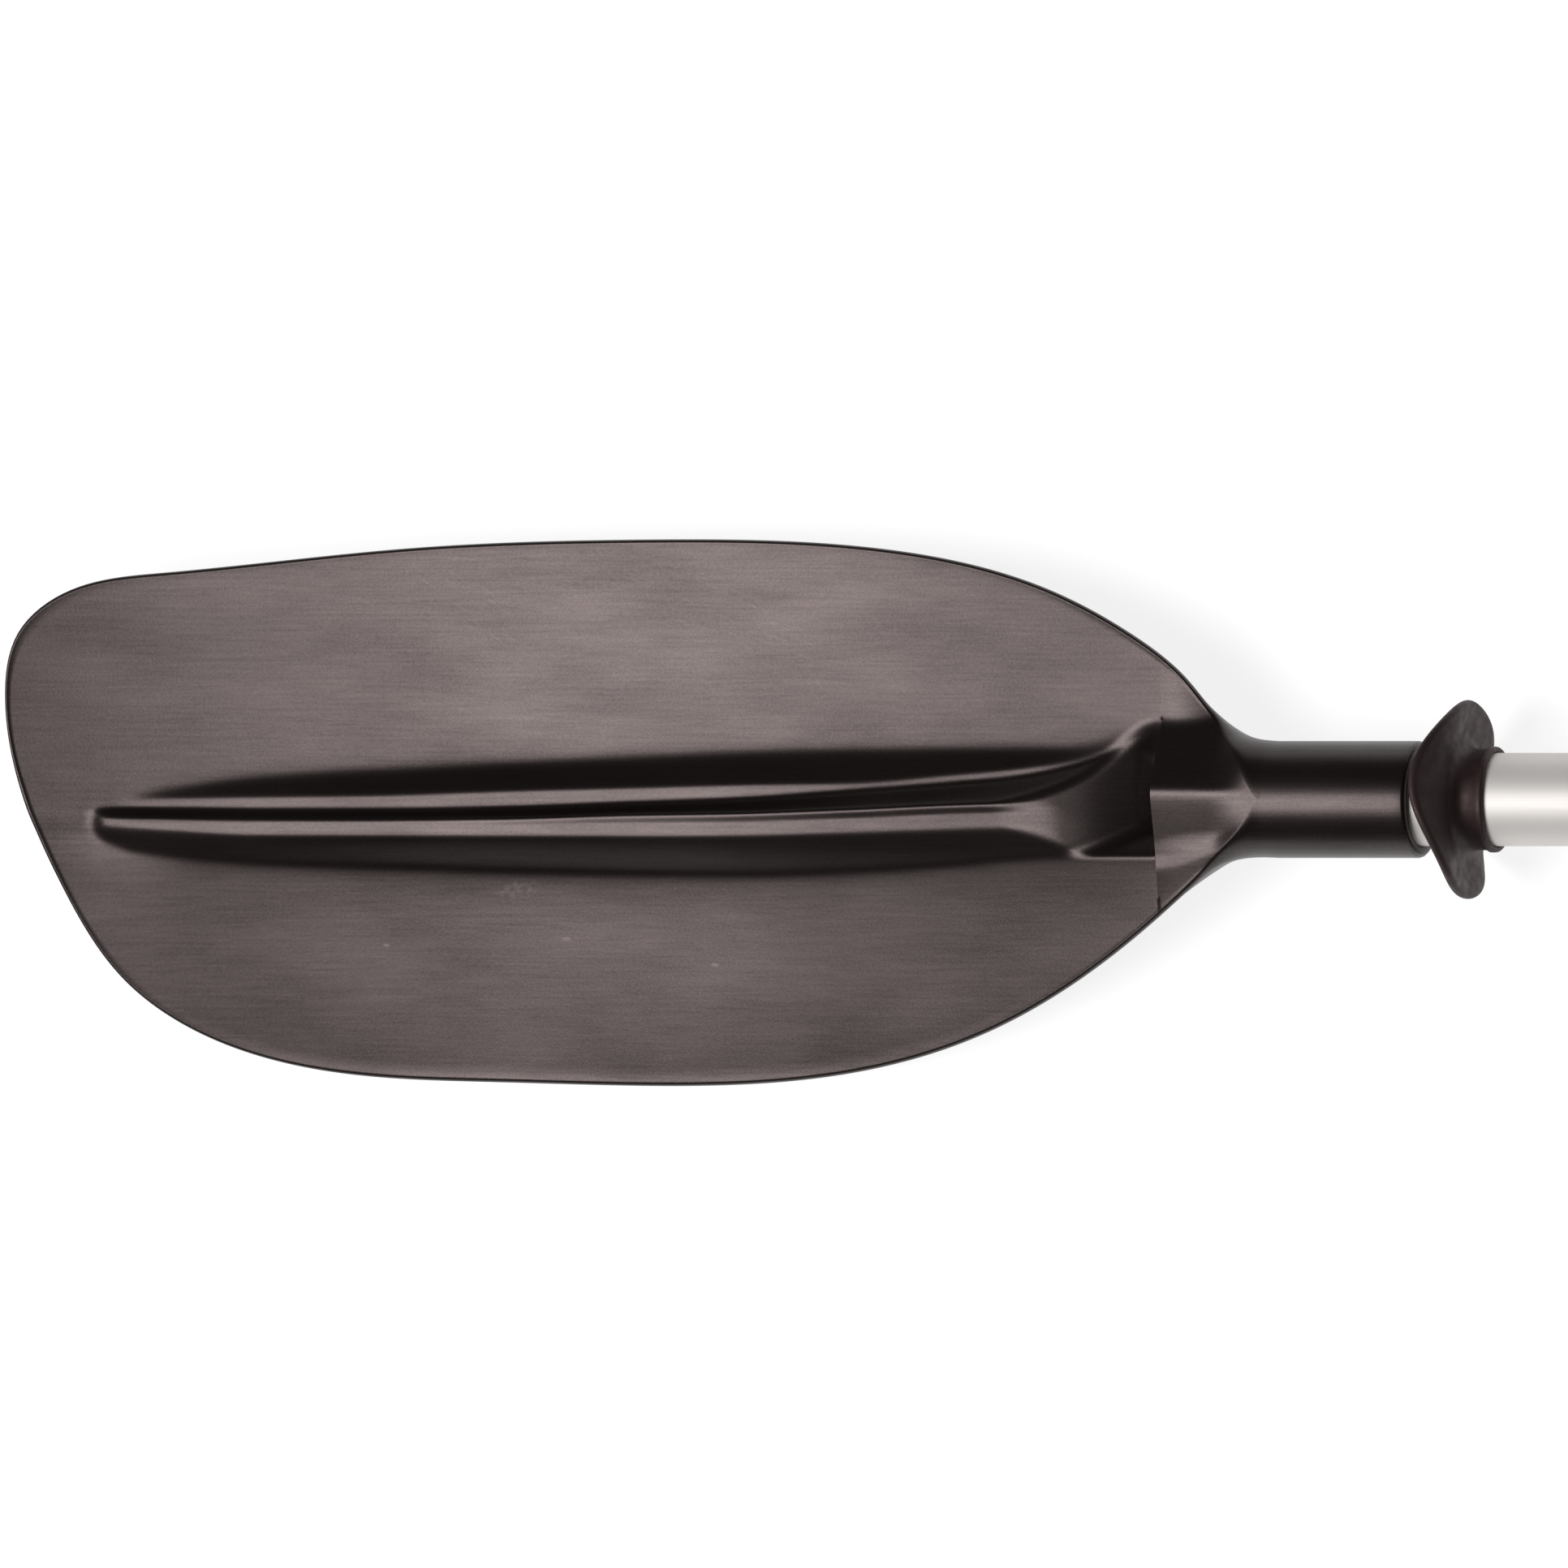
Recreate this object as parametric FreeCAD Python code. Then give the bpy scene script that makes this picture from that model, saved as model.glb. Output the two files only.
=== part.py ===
"""Two-piece double-bladed kayak paddle: spooned, twin-ribbed, moulded plastic blades
on an aluminium tube shaft, with rubber drip rings and a snap-button joint at mid-length.

The paddle lies flat along X with its power faces up (+Z). The origin is on the shaft's
axis at mid-length. Left and right pieces are mirror images about the plane X = 0.
All lengths are in millimetres.
"""
import FreeCAD, Part
import math
import os

from FreeCAD import Vector

os.makedirs("parts", exist_ok=True)

# --- Driving dimensions -------------------------------------------------------
PADDLE_LENGTH = 2200.0          # tip to tip
SHAFT_RADIUS = 14.5             # 29 mm tube
SHAFT_WALL = 1.3
RUNNING_GAP = 0.05              # radial clearance of every piece that fits on a round one

BLADE_LENGTH = 467.2            # tip to the open end of the socket
SOCKET_RADIUS = 18.25
SOCKET_BORE_DEPTH = 80.0
SOCKET_CORE_RADIUS = 16.9       # the socket's round core inside the hood
SOCKET_LIP_RADIUS = 1.2         # rounding of the socket's open end
SOCKET_RIVET_INSET = 25.0       # from the socket's open end
TUBE_END_GAP = 0.8              # between the tube's end and the socket's bottom
HOOD_STEP = 383.4               # where the socket's front ends in a step, from the tip
HOOD_END = 420.0                # where the hood has become the round socket
WEB_THICKNESS = 3.2

RING_RADIUS = 31.0
RING_FLANGE_PLACE = 478.0       # from the blade's tip, along the shaft
RING_FLANGE_THICKNESS = 3.6
RING_SADDLE = 4.2               # how far the flange's rim swings each way along the shaft
RING_SADDLE_TURN = 12.0         # degrees about the shaft
RING_COLLAR_RADIUS = 16.6
RING_COLLAR_END = 492.0
RING_REACH = 20.0               # the ring lies within this far of its flange's middle

JOINT_COLLAR_LENGTH = 98.0
JOINT_COLLAR_RADIUS = 16.7
JOINT_COLLAR_ROUNDING = 0.8
COLLAR_RIVET_INSET = 10.0       # past the spigot's end
FERRULE_REACH = 80.0            # spigot inside the left tube
FERRULE_SEAT = 75.0             # spigot inside the right tube
FERRULE_BORE_RADIUS = 10.5
FLANGE_LENGTH = 8.0
FERRULE_RIVET_INSET = 35.0      # past the flange
WASHER_THICKNESS = 3.0
FACE_GAP = 0.1                  # between the washer and the faces it turns against
BUTTON_PLACE = 35.0             # from mid-length, into the left half
BUTTON_RADIUS = 3.8
BUTTON_HOLE_RADIUS = 4.0
BUTTON_TOP = 19.0
BUTTON_ROUNDING = 1.6
BUTTON_FOOT_RIM = 0.9           # how far the foot stands out round the stem
BUTTON_FOOT_THICKNESS = 0.6
FEATHER_ANGLES = (-60.0, 0.0, 60.0)
SPRING_RADIUS = 8.2             # bend of the spring's centre line
SPRING_THICKNESS = 0.8
SPRING_WIDTH = 8.0
SPRING_BEND_PLACE = 12.0        # the bend's centre, from the spigot's end
SPRING_LEG_REACH = 6.0          # how far the legs run past the button
RIVET_RADIUS = 2.0
RIVET_HEAD_RADIUS = 3.6
RIVET_HEAD_HEIGHT = 1.3
RIVET_OVERLAP = 0.2             # how far the shank runs into the head
RIVET_TAIL = 2.0                # how far a rivet stands into a tube
FERRULE_RIVET_TAIL = 1.0        # how far a rivet stands into the ferrule's bore
PLUG_LENGTH = 20.0
FLOAT_PLUG_INSET = 2.0          # from the tube's end
LEFT_PLUG_GAP = 8.0             # from the collar's rivets
RIGHT_PLUG_GAP = 5.0            # from the ferrule's end

TUBE_BORE_RADIUS = SHAFT_RADIUS - SHAFT_WALL
SLEEVE_BORE_RADIUS = SHAFT_RADIUS + RUNNING_GAP
SPIGOT_RADIUS = TUBE_BORE_RADIUS - RUNNING_GAP
TIP_X = -PADDLE_LENGTH / 2
SOCKET_END_X = TIP_X + BLADE_LENGTH
SHAFT_START_X = SOCKET_END_X - SOCKET_BORE_DEPTH + TUBE_END_GAP
SEAM_X = WASHER_THICKNESS / 2 + FACE_GAP
SOCKET_RIVET_X = SOCKET_END_X - SOCKET_RIVET_INSET
COLLAR_RIVET_X = -FERRULE_REACH - COLLAR_RIVET_INSET
FERRULE_RIVET_X = SEAM_X + FLANGE_LENGTH + FERRULE_RIVET_INSET
RIVET_HOLE_RADIUS = RIVET_RADIUS + RUNNING_GAP
HOLE_START = 9.0                # radial holes run between these distances from the axis
HOLE_END = 22.0
FAR = 120.0                     # past every surface of a blade
CEILING = 45.0                  # level above every front surface of a blade
UP = Vector(0, 0, 1)
ALONG_SHAFT = Vector(1, 0, 0)

# --- Blade outline: distance from the tip, height above the shaft's axis ----------
UPPER_EDGE = [(4.5, 52.5), (19.7, 65.5), (50.0, 71.5), (127.5, 79.0), (206.7, 81.7),
              (288.5, 78.4), (345.0, 65.4), (374.0, 51.0), (391.0, 38.2), (400.5, 27.0),
              (410.5, 19.7), (HOOD_END, SOCKET_RADIUS)]
LOWER_EDGE = [(6.3, -1.3), (15.2, -24.2), (24.4, -43.3), (33.8, -56.7), (52.9, -71.8),
              (77.0, -81.7), (150.0, -89.2), (203.0, -90.3), (262.3, -87.3), (315.3, -74.8),
              (344.0, -61.8), (373.6, -43.3), (396.5, -25.7), (406.0, -19.4),
              (HOOD_END, -SOCKET_RADIUS)]
TIP_POINT = (0.0, 33.0)

# --- Blade relief: each table gives a value at distances from the tip ---------------
SPOON_RADIUS = 950.0            # lengthwise curve of the whole blade
SPOON_PLACE = 228.0             # its deepest point, from the tip
SPOON_DEPTH = 9.0               # its deepest point, behind the shaft's axis
UPPER_DISH = 2.5                # how far the upper rim stands forward
DISH_START = 10.0
DISH_WIDTH = 70.0
LOWER_FALL = 0.17               # slope of the lower web, which falls away from the spine
LOWER_FOOT_FALL = 0.12          # extra slope beside the spine
LOWER_FOOT_REACH = 15.0
LOWER_CURL = 1.0                # extra fall at the lower rim
CURL_START = 20.0
LOWER_START = 16.0              # where the lower web begins to fall
LOWER_SOFTNESS = 4.0            # how gently it begins
TIP_SOFTNESS = 10.0             # added to that at the tip
TIP_SOFTNESS_PLACE = 15.0
TIP_SOFTNESS_LENGTH = 50.0
RISE_START = 140.0              # where both webs begin to rise towards the socket
RISE_LENGTH = 245.0
UPPER_RISE = 3.8
LOWER_RISE = 10.4
SPINE_START = 25.0
SPINE_START_LENGTH = 8.0

UPPER_FOOT = [(25, -1.0), (53, 2.6), (80, 6.1), (124, 8.6), (162, 10.4), (202, 12.2), (243, 14.0),
              (283, 15.0), (338, 15.3), (359, 17.0), (384, 25.0)]
UPPER_CREST = [(25, -1.8), (53, 0.2), (124, 1.5), (162, 2.8), (202, 3.8), (243, 4.8), (283, 5.6),
               (311, 7.9), (338, 10.2), (359, 13.5), (384, 23.0)]
UPPER_INNER = [(25, -3.2), (124, -3.7), (162, -3.1), (202, -1.8), (243, -0.2), (283, 2.6), (311, 4.6),
               (338, 7.2), (359, 11.9), (384, 21.5)]
LOWER_CREST = [(25, -5.3), (80, -6.1), (162, -5.8), (202, -4.7), (243, -4.2), (283, -3.0), (311, -1.8),
               (338, -0.9), (384, 3.0)]
LAST_CREST = [(25, -8.5), (53, -10.0), (80, -11.6), (202, -12.1), (243, -11.8), (283, -10.6), (338, -8.8),
              (384, -10.0)]
LOWER_FOOT = [(25, -12.0), (42, -16.5), (80, -19.9), (124, -21.0), (162, -22.2), (243, -23.2), (283, -21.8),
              (311, -20.2), (345, -17.7), (384, -17.5)]
RIB_HEIGHT = [(26, 0.0), (34, 2.4), (53, 4.2), (80, 5.8), (124, 7.8), (182, 9.0), (243, 9.0), (311, 7.4),
              (338, 6.2), (384, 4.0)]
UPPER_RIB_HEIGHT = [(34, 0.0), (53, 1.2), (80, 2.9), (124, 4.2), (182, 5.0), (243, 5.0), (311, 4.0),
                    (338, 2.8), (359, 1.0), (384, 0.0)]
CREST_STEP = [(25, 0.1), (124, 0.3), (202, 1.0), (311, 1.5)]    # of the lower rib's first crest over its last
STEP_SHARE = 0.37               # where that step ends, on the way from the first crest to the last
LEDGE_TILT = 0.15               # of the upper rib's top towards the lower one
FOOT_ROUNDNESS = (1.6, 2.4)     # of the spine's lower and upper foot
CREST_ROUNDNESS = (1.4, 1.0, 1.2, 1.0, 1.2)     # last crest, dip, first crest, ledge's two edges

KEEL_LINE = [(0, 22.0), (60, 6.0), (110, -4.0), (150, -10.0), (200, -13.4), (240, -14.8), (300, -16.6),
             (345, -18.4), (HOOD_STEP, -19.2), (HOOD_END, -18.0)]
KEEL_HALF_WIDTH = [(60, 14.0), (240, 20.0), (HOOD_STEP, 30.0)]
KEEL_ROUNDNESS = 0.4

POCKET_START = 326.0            # the hollow that the two ribs run into, in front of the hood
POCKET_FLOOR = [(332, 12.0), (348, 5.5), (362, -0.5), (374, -7.0), (384, -13.0)]     # height above the web
POCKET_CREST = [(345, 8.4), (365, 15.0), (376, 21.0), (384, 23.0)]      # top of its upper wall
POCKET_FOOT = -17.5                                                     # top of its lower wall
POCKET_UPPER_SLOPE = 0.9
POCKET_LOWER_SLOPE = 2.0
POCKET_TILT = 0.22              # of its floor, down towards the lower web
POCKET_MIDDLE = -8.0            # where the floor has its table's height
POCKET_ROUNDNESS = 1.5

PANEL_UPPER = [(383, 3.0), (430, 2.5)]      # upper edge of the hood's flat front
PANEL_HEIGHT = [(383, 19.0), (HOOD_END, 18.7)]
PANEL_FALL = 0.30               # slope of the flat front towards the lower web
PANEL_FOLD = [(383, -17.5), (392, -16.5), (404, -12.0), (HOOD_END, -6.0)]   # where that slope ends
FOLD_SLOPE = 0.05               # of the narrow band below the fold
FOLD_WIDTH = 4.0
PANEL_FOOT_SLOPE = 0.35         # below that band
HOOD_SLOPE = math.tan(math.radians(30.0))
HOOD_ROUNDNESS = 1.5            # of the hollow between flank and wing
HOOD_LIFT = 0.3                 # of the web beside the hood
UPPER_SINK = 5.0                # how far the upper web sinks towards the round socket
LEVEL_PLACE = HOOD_STEP + 8.0   # past this place the webs no longer climb
LEVEL_ROUNDNESS = 16.0
PANEL_ROUNDNESS = 2.0
FOLD_ROUNDNESS = 1.0


def at(table, place):
    """Smooth value of a table at a place: cubic between its entries, level at its ends."""
    if place <= table[0][0]:
        return table[0][1]
    if place >= table[-1][0]:
        return table[-1][1]
    slopes = [0.0]
    for (x0, y0), (x1, y1), (x2, y2) in zip(table, table[1:], table[2:]):
        slopes.append((y2 - y0) / (x2 - x0))
    slopes.append(0.0)
    for index, ((x0, y0), (x1, y1)) in enumerate(zip(table, table[1:])):
        if place <= x1:
            span = x1 - x0
            t = (place - x0) / span
            rise = y1 - y0
            bend = slopes[index] * span - rise
            unbend = rise - slopes[index + 1] * span
            return y0 + t * rise + t * (1 - t) * ((1 - t) * bend + t * unbend)
    return table[-1][1]


def ease(t):
    """0 to 1 with level ends."""
    t = min(max(t, 0.0), 1.0)
    return t * t * (3 - 2 * t)


def web_height(along, across):
    """Front of the thin web, without any relief; beside the hood it sinks as it narrows."""
    place = along - soft_ramp(along - LEVEL_PLACE, LEVEL_ROUNDNESS)
    spoon = (place - SPOON_PLACE) ** 2 / (2 * SPOON_RADIUS) - SPOON_DEPTH
    rise = ease((place - RISE_START) / RISE_LENGTH)
    narrowing = ease((along - HOOD_STEP) / (HOOD_END - HOOD_STEP))
    dish = UPPER_DISH * (max(across - DISH_START, 0.0) / DISH_WIDTH) ** 2
    upper = dish + UPPER_RISE * rise - UPPER_SINK * narrowing
    lower = LOWER_RISE * rise - lower_fall(along, across)
    foot = at(LOWER_FOOT, place)
    share = ease((across - foot) / (at(UPPER_FOOT, place) - foot))
    return spoon + lower + (upper - lower) * share


def lower_fall(along, across):
    """How far the lower web has fallen away from the spine; its start is softer near the tip."""
    at_tip = 1 - ease((along - TIP_SOFTNESS_PLACE) / TIP_SOFTNESS_LENGTH)
    out = soft_ramp(-across - LOWER_START, LOWER_SOFTNESS + TIP_SOFTNESS * at_tip)
    beside_spine = LOWER_FOOT_FALL * LOWER_FOOT_REACH * (1 - math.exp(-out / LOWER_FOOT_REACH))
    curl = LOWER_CURL * (max(-across - CURL_START, 0.0) / DISH_WIDTH) ** 4
    return LOWER_FALL * out + beside_spine + curl


def soft_ramp(x, roundness):
    """Zero left of the origin and x right of it, with a rounded corner."""
    return 0.5 * (x + math.sqrt(x * x + roundness * roundness))


def soft_profile(corners, across):
    """Height of a line through the corners (place, height, roundness), corners rounded."""
    height = corners[0][1]
    last_slope = 0.0
    for (x0, y0, r0), (x1, y1, _) in zip(corners, corners[1:]):
        slope = (y1 - y0) / (x1 - x0)
        height += (slope - last_slope) * soft_ramp(across - x0, r0)
        last_slope = slope
    x0, _, r0 = corners[-1]
    return height - last_slope * soft_ramp(across - x0, r0)


def spine_relief(along, across):
    """Height above the web of the twin ribs and the groove between them."""
    rib = at(RIB_HEIGHT, along)
    upper_rib = at(UPPER_RIB_HEIGHT, along)
    last = at(LAST_CREST, along)
    first = at(LOWER_CREST, along)
    middle = first + (last - first) * STEP_SHARE
    inner = at(UPPER_INNER, along)
    outer = at(UPPER_CREST, along)
    rib_level = web_height(along, last) + rib
    ledge_level = web_height(along, outer) + upper_rib
    dip = rib_level - web_height(along, middle)
    first_height = rib_level + at(CREST_STEP, along) - web_height(along, first)
    ledge_end = ledge_level - LEDGE_TILT * (outer - inner) - web_height(along, inner)
    places = (last, middle, first, inner, outer)
    heights = (rib, dip, first_height, ledge_end, upper_rib)
    corners = [(at(LOWER_FOOT, along), 0.0, FOOT_ROUNDNESS[0])]
    corners += zip(places, heights, CREST_ROUNDNESS)
    corners += [(at(UPPER_FOOT, along), 0.0, FOOT_ROUNDNESS[1])]
    return soft_profile(corners, across) * ease((along - SPINE_START) / SPINE_START_LENGTH)


def blade_front(along, across):
    return web_height(along, across) + spine_relief(along, across)


def hood_front(along, across):
    """Front of the socket's hood: a gently falling panel and a steep upper flank, over the web."""
    edge = at(PANEL_UPPER, along)
    flank = HOOD_SLOPE * soft_ramp(across - edge, PANEL_ROUNDNESS)
    fold = at(PANEL_FOLD, along)
    fall = PANEL_FALL * soft_ramp(edge - across, PANEL_ROUNDNESS)
    fall -= (PANEL_FALL - FOLD_SLOPE) * soft_ramp(fold - across, FOLD_ROUNDNESS)
    fall += (PANEL_FOOT_SLOPE - FOLD_SLOPE) * soft_ramp(fold - FOLD_WIDTH - across, FOLD_ROUNDNESS)
    panel = at(PANEL_HEIGHT, along) - flank - fall
    web = web_height(along, across) + HOOD_LIFT
    return web + soft_ramp(panel - web, HOOD_ROUNDNESS)


def pocket_surface(along, across):
    """Floor and walls of the hollow in front of the hood; above the blade everywhere else."""
    floor = at(POCKET_FLOOR, along) + POCKET_TILT * (across - POCKET_MIDDLE)
    upper_wall = POCKET_UPPER_SLOPE * (across - at(POCKET_CREST, along))
    lower_wall = POCKET_LOWER_SLOPE * (POCKET_FOOT - across)
    bowl = floor + soft_ramp(upper_wall - floor, POCKET_ROUNDNESS)
    return web_height(along, across) + bowl + soft_ramp(lower_wall - bowl, POCKET_ROUNDNESS)


def ceiling(along, across):
    """Flat level above every front surface."""
    return CEILING


def blade_back(along, across):
    """Back of the web, with the keel that carries on from the socket."""
    web = web_height(along, across) - WEB_THICKNESS
    half = at(KEEL_HALF_WIDTH, along)
    if abs(across) >= half:
        return web
    keel = soft_ramp(web - at(KEEL_LINE, along), KEEL_ROUNDNESS)
    return web - keel * math.sqrt(0.5 * (1 + math.cos(math.pi * across / half)))


def below_web(depth):
    """Height function of a surface inside the web."""
    return lambda along, across: web_height(along, across) - depth


def spaced(low, high, step):
    """Evenly spaced values from low to high, at most step apart."""
    count = max(int(math.ceil((high - low) / step)), 1)
    return [low + (high - low) * i / count for i in range(count + 1)]


def surface_face(height, places, levels, to_point):
    """Smooth face through the heights at every pair of place and level."""
    grid = []
    for a in places:
        grid.append([to_point(a, b, height(a, b)) for b in levels])
    surface = Part.BSplineSurface()
    surface.interpolate(grid)
    return surface.toShape()


def slab_between(lower, upper, places, levels, to_point):
    """Solid between two height functions over a rectangle of places and levels."""
    bottom = surface_face(lower, places, levels, to_point)
    top = surface_face(upper, places, levels, to_point)
    walls = []
    for edge in bottom.Edges:
        best = min(top.Edges, key=lambda e: matching_gap(edge, e))
        walls.append(Part.makeRuledSurface(edge, best))
    shell = Part.Shell([bottom, top] + walls)
    shell.sewShape()
    solid = Part.Solid(shell)
    if solid.Volume < 0:
        solid.reverse()
    return solid


def matching_gap(first, second):
    """How far apart the middles of two edges are."""
    return middle_of(first).distanceToPoint(middle_of(second))


def middle_of(edge):
    return edge.valueAt((edge.FirstParameter + edge.LastParameter) / 2)


def blade_point(along, across, height):
    return Vector(TIP_X + along, across, height)


def tube_along_x(start, end, outer, inner=0.0):
    """Round bar or tube on the shaft's axis, between two places."""
    bar = Part.makeCylinder(outer, end - start, Vector(start, 0, 0), ALONG_SHAFT)
    if inner:
        bar = bar.cut(Part.makeCylinder(inner, end - start, Vector(start, 0, 0), ALONG_SHAFT))
    return bar


def turned(shape, degrees):
    """The shape turned about the shaft's axis."""
    copy = shape.copy()
    copy.rotate(Vector(0, 0, 0), ALONG_SHAFT, degrees)
    return copy


def outline_prism(start, end):
    """Everything inside the blade's outline between two distances from the tip."""
    points = [TIP_POINT] + UPPER_EDGE
    low_points = LOWER_EDGE[::-1] + [TIP_POINT]
    curve = Part.BSplineCurve()
    rim = [Vector(TIP_X + a, b, 0) for a, b in low_points[:-1] + points]
    curve.interpolate(rim)
    closing = Part.LineSegment(rim[-1], rim[0])
    wire = Part.Wire([curve.toShape(), closing.toShape()])
    prism = Part.Face(wire).extrude(UP * FAR)
    prism.translate(UP * (-FAR / 2))
    window = Part.makeBox(end - start, 2 * FAR, FAR, Vector(TIP_X + start, -FAR, -FAR / 2))
    return prism.common(window)


# Grids that the blade's surfaces run through: distances from the tip, and levels across it.
BACK_PLACES = spaced(-6, 340, 10) + spaced(346, HOOD_END + 6, 5)
BACK_LEVELS = spaced(-94, -36, 6.4) + spaced(-33, 33, 3) + spaced(37, 86, 6.4)
RIB_PLACES = spaced(-6, 18, 8) + spaced(23, 65, 3.5) + spaced(72, 340, 8) + spaced(345, HOOD_STEP + 4, 4)
RIB_LEVELS = spaced(-94, -30, 6.4) + spaced(-28, 28, 1.4) + spaced(31, 86, 6.4)
POCKET_PLACES = spaced(POCKET_START, HOOD_STEP + 4, 3)
POCKET_LEVELS = spaced(-26, 34, 1.5)
HOOD_PLACES = spaced(HOOD_STEP - 4, HOOD_END + 4, 3)
HOOD_LEVELS = spaced(-46, 46, 2)


def blade_web():
    """The thin web with its keel and its ribs, from the tip to the hood."""
    inside = below_web(WEB_THICKNESS / 2)
    lower_inside = below_web(WEB_THICKNESS * 3 / 4)
    back = slab_between(blade_back, inside, BACK_PLACES, BACK_LEVELS, blade_point)
    back = back.common(outline_prism(-10, HOOD_END))
    ribs = slab_between(lower_inside, blade_front, RIB_PLACES, RIB_LEVELS, blade_point)
    ribs = ribs.common(outline_prism(-10, HOOD_STEP))
    pocket = slab_between(pocket_surface, ceiling, POCKET_PLACES, POCKET_LEVELS, blade_point)
    before_hood = Part.makeBox(FAR, FAR, FAR, Vector(TIP_X + HOOD_STEP - FAR, -FAR / 2, -FAR / 2))
    return back.fuse(ribs).cut(pocket.common(before_hood))


def blade_socket():
    """The round socket with its rounded open end."""
    socket = tube_along_x(TIP_X + HOOD_END, SOCKET_END_X, SOCKET_RADIUS)
    end_edges = [e for e in socket.Edges if abs(e.CenterOfMass.x - SOCKET_END_X) < RUNNING_GAP]
    return socket.makeFillet(SOCKET_LIP_RADIUS, end_edges)


def blade():
    """One moulded blade: web, twin-ribbed spine, hood and socket, bored for the shaft."""
    inside = below_web(WEB_THICKNESS * 5 / 8)
    hood = slab_between(inside, hood_front, HOOD_PLACES, HOOD_LEVELS, blade_point)
    hood = hood.common(outline_prism(HOOD_STEP, HOOD_END))
    core = tube_along_x(TIP_X + HOOD_STEP, TIP_X + HOOD_END, SOCKET_CORE_RADIUS)
    bore = tube_along_x(SOCKET_END_X - SOCKET_BORE_DEPTH, SOCKET_END_X + FAR, SLEEVE_BORE_RADIUS)
    solid = blade_web().fuse(hood).fuse(core).fuse(blade_socket()).cut(bore)
    return solid.cut(radial_hole(SOCKET_RIVET_X, RIVET_HOLE_RADIUS, 180.0))


def radial_hole(place, radius, degrees):
    """Round bar that points out from the shaft's axis; zero degrees is +Z."""
    return turned(upright_bar(place, radius, HOLE_START, HOLE_END), degrees)


def upright_bar(place, radius, low, high):
    """Round bar along +Z, between two heights above the shaft's axis."""
    return Part.makeCylinder(radius, high - low, Vector(place, 0, low), UP)


def with_radial_holes(shape, place, radius, angles):
    """The shape with a hole at each angle about the shaft's axis."""
    for degrees in angles:
        shape = shape.cut(radial_hole(place, radius, degrees))
    return shape


def rivet(place, seat, tail, degrees):
    """Blind rivet with a domed head on a seat and its tail inside the tube."""
    shank = upright_bar(place, RIVET_RADIUS, tail, seat + RIVET_OVERLAP)
    dome_radius = (RIVET_HEAD_RADIUS ** 2 + RIVET_HEAD_HEIGHT ** 2) / (2 * RIVET_HEAD_HEIGHT)
    centre = Vector(place, 0, seat + RIVET_HEAD_HEIGHT - dome_radius)
    ball = Part.makeSphere(dome_radius, centre)
    cap = ball.common(upright_bar(place, RIVET_HEAD_RADIUS, seat, seat + 2 * RIVET_HEAD_HEIGHT))
    return turned(shank.fuse(cap).removeSplitter(), degrees)


def drip_ring():
    """Rubber ring: a saddle-shaped flange on a short collar, stretched over the shaft."""
    centre = TIP_X + RING_FLANGE_PLACE
    turn = math.radians(RING_SADDLE_TURN)

    def saddle(across, height):
        along_axis = height * math.cos(turn) + across * math.sin(turn)
        beside = across * math.cos(turn) - height * math.sin(turn)
        return RING_SADDLE * (beside ** 2 - along_axis ** 2) / RING_RADIUS ** 2

    def near(across, height):
        return saddle(across, height) - RING_FLANGE_THICKNESS / 2

    def far(across, height):
        return saddle(across, height) + RING_FLANGE_THICKNESS / 2

    def ring_point(across, height, x):
        return Vector(centre + x, across, height)

    steps = spaced(-RING_RADIUS - 2, RING_RADIUS + 2, 3)
    flange = slab_between(near, far, steps, steps, ring_point)
    flange = flange.common(tube_along_x(centre - RING_REACH, centre + RING_REACH, RING_RADIUS))
    collar = tube_along_x(centre, TIP_X + RING_COLLAR_END, RING_COLLAR_RADIUS)
    bore = tube_along_x(centre - FAR, centre + FAR, SLEEVE_BORE_RADIUS)
    return flange.fuse(collar).cut(bore)


SIDES = (90.0, -90.0)           # angles of the rivets at the joint
BACK = (180.0,)                 # angle of the blades' rivets


def left_tube():
    tube = tube_along_x(SHAFT_START_X, -SEAM_X, SHAFT_RADIUS, TUBE_BORE_RADIUS)
    tube = with_radial_holes(tube, -BUTTON_PLACE, BUTTON_HOLE_RADIUS, FEATHER_ANGLES)
    tube = with_radial_holes(tube, COLLAR_RIVET_X, RIVET_HOLE_RADIUS, SIDES)
    return with_radial_holes(tube, SOCKET_RIVET_X, RIVET_HOLE_RADIUS, BACK)


def right_tube():
    tube = tube_along_x(SEAM_X + FLANGE_LENGTH, -SHAFT_START_X, SHAFT_RADIUS, TUBE_BORE_RADIUS)
    tube = with_radial_holes(tube, FERRULE_RIVET_X, RIVET_HOLE_RADIUS, SIDES)
    return with_radial_holes(tube, -SOCKET_RIVET_X, RIVET_HOLE_RADIUS, BACK)


def joint_collar():
    """Nylon collar over the left tube's end, with the three feather holes."""
    collar = tube_along_x(-SEAM_X - JOINT_COLLAR_LENGTH, -SEAM_X, JOINT_COLLAR_RADIUS)
    collar = collar.makeFillet(JOINT_COLLAR_ROUNDING, [e for e in collar.Edges if e.isClosed()])
    collar = collar.cut(tube_along_x(-FAR, FAR, SLEEVE_BORE_RADIUS))
    collar = with_radial_holes(collar, -BUTTON_PLACE, BUTTON_HOLE_RADIUS, FEATHER_ANGLES)
    return with_radial_holes(collar, COLLAR_RIVET_X, RIVET_HOLE_RADIUS, SIDES)


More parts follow.
